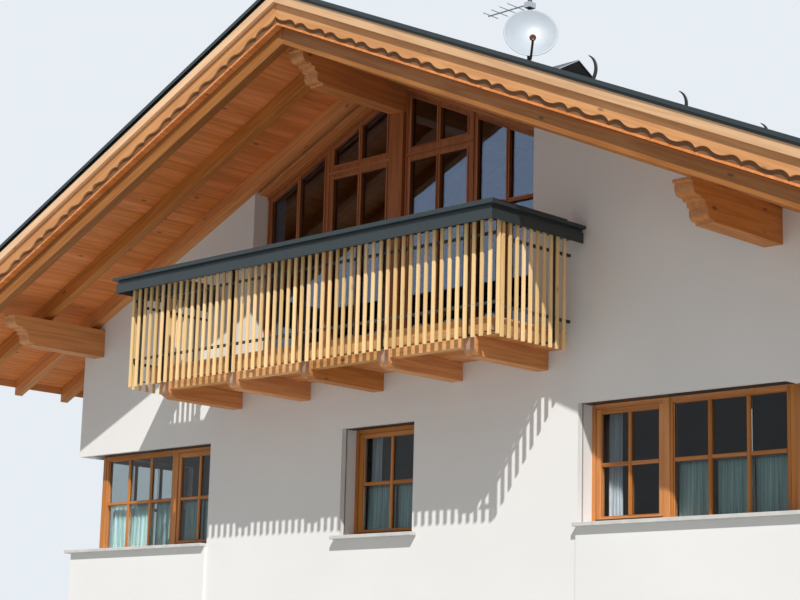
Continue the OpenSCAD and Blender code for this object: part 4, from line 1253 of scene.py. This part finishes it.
class CHALET_OT_balcony(bpy.types.Operator):
    """Builds the balcony: noses, boards, slats with their screws, posts, rails and trough"""

    bl_idname = "chalet.balcony"
    bl_label = "Balcony"

    half_gap = 0.0025
    face_in = 0.034
    plate_top = 5.778
    rail_levels = {"balcony_slats_front": (6.045, 6.743), "balcony_slats_sides": (6.005, 6.69)}

    def execute(self, context):
        timber = settings("timber")
        wood = beam_wood()
        pale = timber_finish("Slat timber", timber.slats, 0.76, 26.0, 0.45)
        rim = timber_finish("Rim timber", timber.rim, 0.66)
        beams = "balcony_beams", "balcony_beam_timbers"
        soft_copy(*beams, wood, "structural_wood", timber.beam_edge, 101, cut=0.9)
        soft_copy("balcony_rim", "balcony_rim_boards", rim, "structural_wood", timber.board_edge, 102)
        soft_copy("balcony_slats_front", "front_slats", pale, "slat_wood", timber.slat_edge, 103)
        soft_copy("balcony_slats_sides", "side_slats", pale, "slat_wood", timber.slat_edge, 104)
        soft_copy("balcony_posts", "railing_posts", black_steel(), "black_steel", 0.002)
        soft_copy("balcony_rails", "railing_rails", black_steel(), "black_steel", 0.002)
        soft_copy("flower_trough", "trough_sheet", roof_sheet(), "roof_metal", 0.0015)
        self.deck(wood, timber)
        self.screws()
        self.trough_laps()
        self.bolts()
        return {"FINISHED"}

    def deck(self, wood, timber):
        """Floor boards that run across the beams, with gaps between them."""
        low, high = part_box("balcony_deck")
        bm = bmesh.new()
        count = int((high.y - low.y) / timber.deck_board)
        wide = (high.y - low.y) / count
        for i in range(count):
            y = low.y + i * wide
            slab(bm, (low.x, y + self.half_gap, low.z), (high.x, y + wide - self.half_gap, high.z))
        edge = timber.board_edge
        timber_piece(bm, "balcony_floor_boards", wood, "structural_wood", edge, 105, ("balcony_deck",))

    def screws(self):
        """Round screw heads where each slat crosses a rail."""
        bm = bmesh.new()
        for node, levels in self.rail_levels.items():
            source = node_mesh(node)
            for group in islands(source):
                low = Vector([min(v.co[i] for v in group) for i in range(3)])
                high = Vector([max(v.co[i] for v in group) for i in range(3)])
                middle = (low + high) / 2
                if node == "balcony_slats_front":
                    place, out = (middle.x, low.y), -Y_AXIS
                elif middle.x > 0:
                    place, out = (high.x, middle.y), X_AXIS
                else:
                    place, out = (low.x, middle.y), -X_AXIS
                for z in levels:
                    face = Vector((*place, z))
                    rod(bm, face - out * 0.001, face + out * 0.0018, 0.0055, 10)
            source.free()
        finish_piece(bm, "slat_screws", bright_steel(), "black_steel")

    def trough_laps(self):
        """Lapped joints of the trough's outer face, with rivets."""
        bm = bmesh.new()
        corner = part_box("flower_trough")[0]
        foot = corner.z
        face_y = corner.y + self.face_in
        laps = (-1.98, 0.0, 1.98)
        for x in laps:
            slab(bm, (x - 0.02, face_y - 0.0012, foot + 0.002), (x + 0.02, face_y + 0.002, foot + 0.106))
        soften(bm, 0.0005)
        for x in laps:
            for z in (0.03, 0.08):
                face = Vector((x, face_y, foot + z))
                rod(bm, face, face - Y_AXIS * 0.0028, 0.004, 10)
        finish_piece(bm, "trough_laps", roof_sheet(), "roof_metal")

    def bolts(self):
        """Hexagon heads with washers on the foot plates of the posts."""
        bm = bmesh.new()
        places = [(1.191 * i, -7.141) for i in range(-2, 3)]
        places += [(s * 2.725, y) for s in (-1, 1) for y in (-7.18, -6.34)]
        for x, y in places:
            foot = Vector((x, y, self.plate_top))
            washer = foot + Z_AXIS * 0.0025
            rod(bm, foot, washer, 0.014, 16)
            rod(bm, washer, foot + Z_AXIS * 0.011, 0.009, 6)
        finish_piece(bm, "balcony_bolts", black_steel(), "black_steel")


# Things on the roof


class CHALET_OT_roof_fittings(bpy.types.Operator):
    """Finishes the snow hooks, the chimney cap, the dish and the aerial"""

    bl_idname = "chalet.roof_fittings"
    bl_label = "Roof fittings"

    dish_x = 2.3
    dish_y = -6.16
    dish_turn = math.radians(45)
    dish_tilt = math.radians(76)
    rim_place = (0.287, 0, 0.0585)

    def execute(self, context):
        steel = black_steel()
        pale = coated_finish("Dish paint", settings("metal").dish, 0.42, 0.0, 0.0006, 0.05, 6.0)
        for node in ("snow_guard_hooks", "dish_mast"):
            soft_copy(node, node + "_steel", steel, "black_steel", 0.0012)
        # Painted reflection: the feed arm is coloured brown for the roof that it reflects.
        painted_reflection_steel = coated_finish("Brown coated steel", (0.15, 0.055, 0.03), 0.45, 0.0, 0.0006)
        soft_copy("feed_arm", "feed_arm_steel", painted_reflection_steel, "black_steel", 0.0012)
        soft_copy("chimney_cap", "chimney_cap_sheet", steel, "black_steel", 0.002)
        for node in ("satellite_dish", "aerial"):
            paint(node, pale)
        self.cap_trim()
        self.dish_rim(pale)
        return {"FINISHED"}

    def cap_trim(self):
        """Pale folded edges along the gables and the eaves of the chimney cap."""
        low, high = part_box("chimney_cap")
        middle = (low.y + high.y) / 2
        half = (high.y - low.y) / 2
        foot = high.z - 0.34
        bm = bmesh.new()
        for x in (low.x, high.x):
            for s in (-1, 1):
                start = Vector((x, middle + s * half, foot - 0.002))
                end = Vector((x, middle, high.z - 0.0085))
                way = end - start
                place = Matrix.Translation((start + end) / 2)
                turn = Matrix.Rotation(math.atan2(way.z, way.y), 4, "X")
                size = Matrix.Diagonal((0.01, way.length, 0.012, 1.0))
                bmesh.ops.create_cube(bm, size=1.0, matrix=place @ turn @ size)
        for s in (-1, 1):
            y = middle + s * (half - 0.006)
            slab(bm, (low.x, y - 0.006, foot - 0.008), (high.x, y + 0.006, foot + 0.008))
        soften(bm, 0.0015)
        finish_piece(bm, "cap_trim", bright_steel(), "black_steel")

    def dish_rim(self, pale):
        """The rolled rim of the dish."""
        turn = Matrix.Rotation(self.dish_turn, 4, "Z") @ Matrix.Rotation(self.dish_tilt, 4, "X")
        roof = RAFTER_LINE + COVER_TOP - SLOPE * self.dish_x
        move = Matrix.Translation((self.dish_x, self.dish_y, roof + 0.4)) @ turn
        bm = bmesh.new()
        bmesh.ops.create_circle(
            bm, cap_ends=False, segments=10, radius=0.0042,
            matrix=Matrix.Translation(self.rim_place) @ Matrix.Rotation(math.pi / 2, 4, "X"),
        )
        bmesh.ops.spin(
            bm, geom=bm.verts[:] + bm.edges[:], cent=(0, 0, 0), axis=(0, 0, 1), angle=math.tau, steps=96,
            use_merge=True,
        )
        bmesh.ops.recalc_face_normals(bm, faces=bm.faces)
        bmesh.ops.transform(bm, matrix=move, verts=bm.verts)
        finish_piece(bm, "dish_rim", pale, "dish_white")


# Stage


class CHALET_OT_stage(bpy.types.Operator):
    """Sets the pale floor and background, the light and the camera"""

    bl_idname = "chalet.stage"
    bl_label = "Stage"

    to_sun = (0.490, -0.526, 0.695)
    yaw, pitch, roll = math.radians(44.60), math.radians(11.50), math.radians(-1.46)
    lens = 86.89
    camera_place = (15.087, -20.997, 2.29)

    def execute(self, context):
        stage = settings("stage")
        scene = context.scene
        scene.view_settings.view_transform = "Standard"
        self.floor(stage)
        self.world(scene, stage)
        light = bpy.data.lights.new("key_sun", "SUN")
        light.energy = stage.sun
        light.angle = stage.softness
        light.color = (1.0, 0.98, 0.95)
        key = bpy.data.objects.new("key_sun", light)
        key.rotation_mode = "QUATERNION"
        key.rotation_quaternion = Vector(self.to_sun).to_track_quat("Z", "Y")
        scene.collection.objects.link(key)
        self.camera(scene)
        return {"FINISHED"}

    def floor(self, stage):
        bm = bmesh.new()
        bmesh.ops.create_grid(bm, x_segments=1, y_segments=1, size=90.0)
        mesh = bpy.data.meshes.new("pale_floor")
        bm.to_mesh(mesh)
        bm.free()
        floor = bpy.data.objects.new("pale_floor", mesh)
        mesh.materials.append(mineral_finish("Floor paint", stage.floor, 0.3, 30.0, 0.02, 0.9, 0.0005))
        bpy.context.scene.collection.objects.link(floor)

    def world(self, scene, stage):
        world = bpy.data.worlds.new("plain_light")
        scene.world = world
        world.use_nodes = True
        tree = world.node_tree
        tree.nodes.clear()
        path = add(tree, "ShaderNodeLightPath")
        seen = calc(tree, "MAXIMUM", path.outputs["Is Camera Ray"], path.outputs["Is Glossy Ray"])
        seen = calc(tree, "MAXIMUM", seen, path.outputs["Is Transmission Ray"])
        fill = add(tree, "ShaderNodeBackground", Color=(0.86, 0.93, 1.0, 1.0), Strength=stage.fill)
        back = add(tree, "ShaderNodeBackground", Color=rgba(stage.backdrop), Strength=1.0)
        mix = tree.nodes.new("ShaderNodeMixShader")
        feed(tree, mix.inputs[0], seen)
        feed(tree, mix.inputs[1], fill.outputs[0])
        feed(tree, mix.inputs[2], back.outputs[0])
        out = tree.nodes.new("ShaderNodeOutputWorld")
        tree.links.new(mix.outputs[0], out.inputs["Surface"])

    def camera(self, scene):
        """The camera stands at the photograph's place, with its turn, tilt and roll."""
        yaw, pitch, roll = self.yaw, self.pitch, self.roll
        ahead = Vector((-math.sin(yaw) * math.cos(pitch), math.cos(yaw) * math.cos(pitch), math.sin(pitch)))
        right = Vector((math.cos(yaw), math.sin(yaw), 0))
        down = ahead.cross(right)
        across = right * math.cos(roll) + down * math.sin(roll)
        lower = down * math.cos(roll) - right * math.sin(roll)
        data = bpy.data.cameras.new("front_camera")
        data.sensor_width = 36.0
        data.lens = self.lens
        data.clip_end = 500.0
        camera = bpy.data.objects.new("front_camera", data)
        turn = Matrix((across, -lower, -ahead)).transposed().to_4x4()
        camera.matrix_world = Matrix.Translation(self.camera_place) @ turn
        scene.collection.objects.link(camera)
        scene.camera = camera


# Sidebar


PIECES = (
    CHALET_OT_masonry, CHALET_OT_roof_timbers, CHALET_OT_soffit, CHALET_OT_verges, CHALET_OT_roof_sheet,
    CHALET_OT_windows, CHALET_OT_gable_window, CHALET_OT_glazing, CHALET_OT_curtains, CHALET_OT_door,
    CHALET_OT_balcony, CHALET_OT_roof_fittings, CHALET_OT_stage,
)
GROUPS = {
    "chalet_masonry": ChaletMasonry,
    "chalet_timber": ChaletTimber,
    "chalet_windows": ChaletWindows,
    "chalet_metal": ChaletMetal,
    "chalet_stage": ChaletStage,
}


class CHALET_PT_sidebar(bpy.types.Panel):
    """Sizes, colours and pieces of the chalet"""

    bl_idname = "CHALET_PT_sidebar"
    bl_label = "Alpine chalet"
    bl_space_type = "VIEW_3D"
    bl_region_type = "UI"
    bl_category = "Chalet"

    def draw(self, context):
        for name, group in GROUPS.items():
            box = self.layout.box()
            for key in group.__annotations__:
                box.prop(getattr(context.scene, name), key)
        for piece in PIECES:
            self.layout.operator(piece.bl_idname)


def register():
    for group in GROUPS.values():
        bpy.utils.register_class(group)
    for name, group in GROUPS.items():
        setattr(bpy.types.Scene, name, PointerProperty(type=group))
    for piece in PIECES:
        bpy.utils.register_class(piece)
    bpy.utils.register_class(CHALET_PT_sidebar)


def unregister():
    bpy.utils.unregister_class(CHALET_PT_sidebar)
    for piece in reversed(PIECES):
        bpy.utils.unregister_class(piece)
    for name in GROUPS:
        delattr(bpy.types.Scene, name)
    for group in reversed(list(GROUPS.values())):
        bpy.utils.unregister_class(group)


def main():
    register()
    for piece in PIECES:
        group, name = piece.bl_idname.split(".")
        getattr(getattr(bpy.ops, group), name)()
    bpy.context.view_layer.update()


if __name__ == "__main__":
    main()
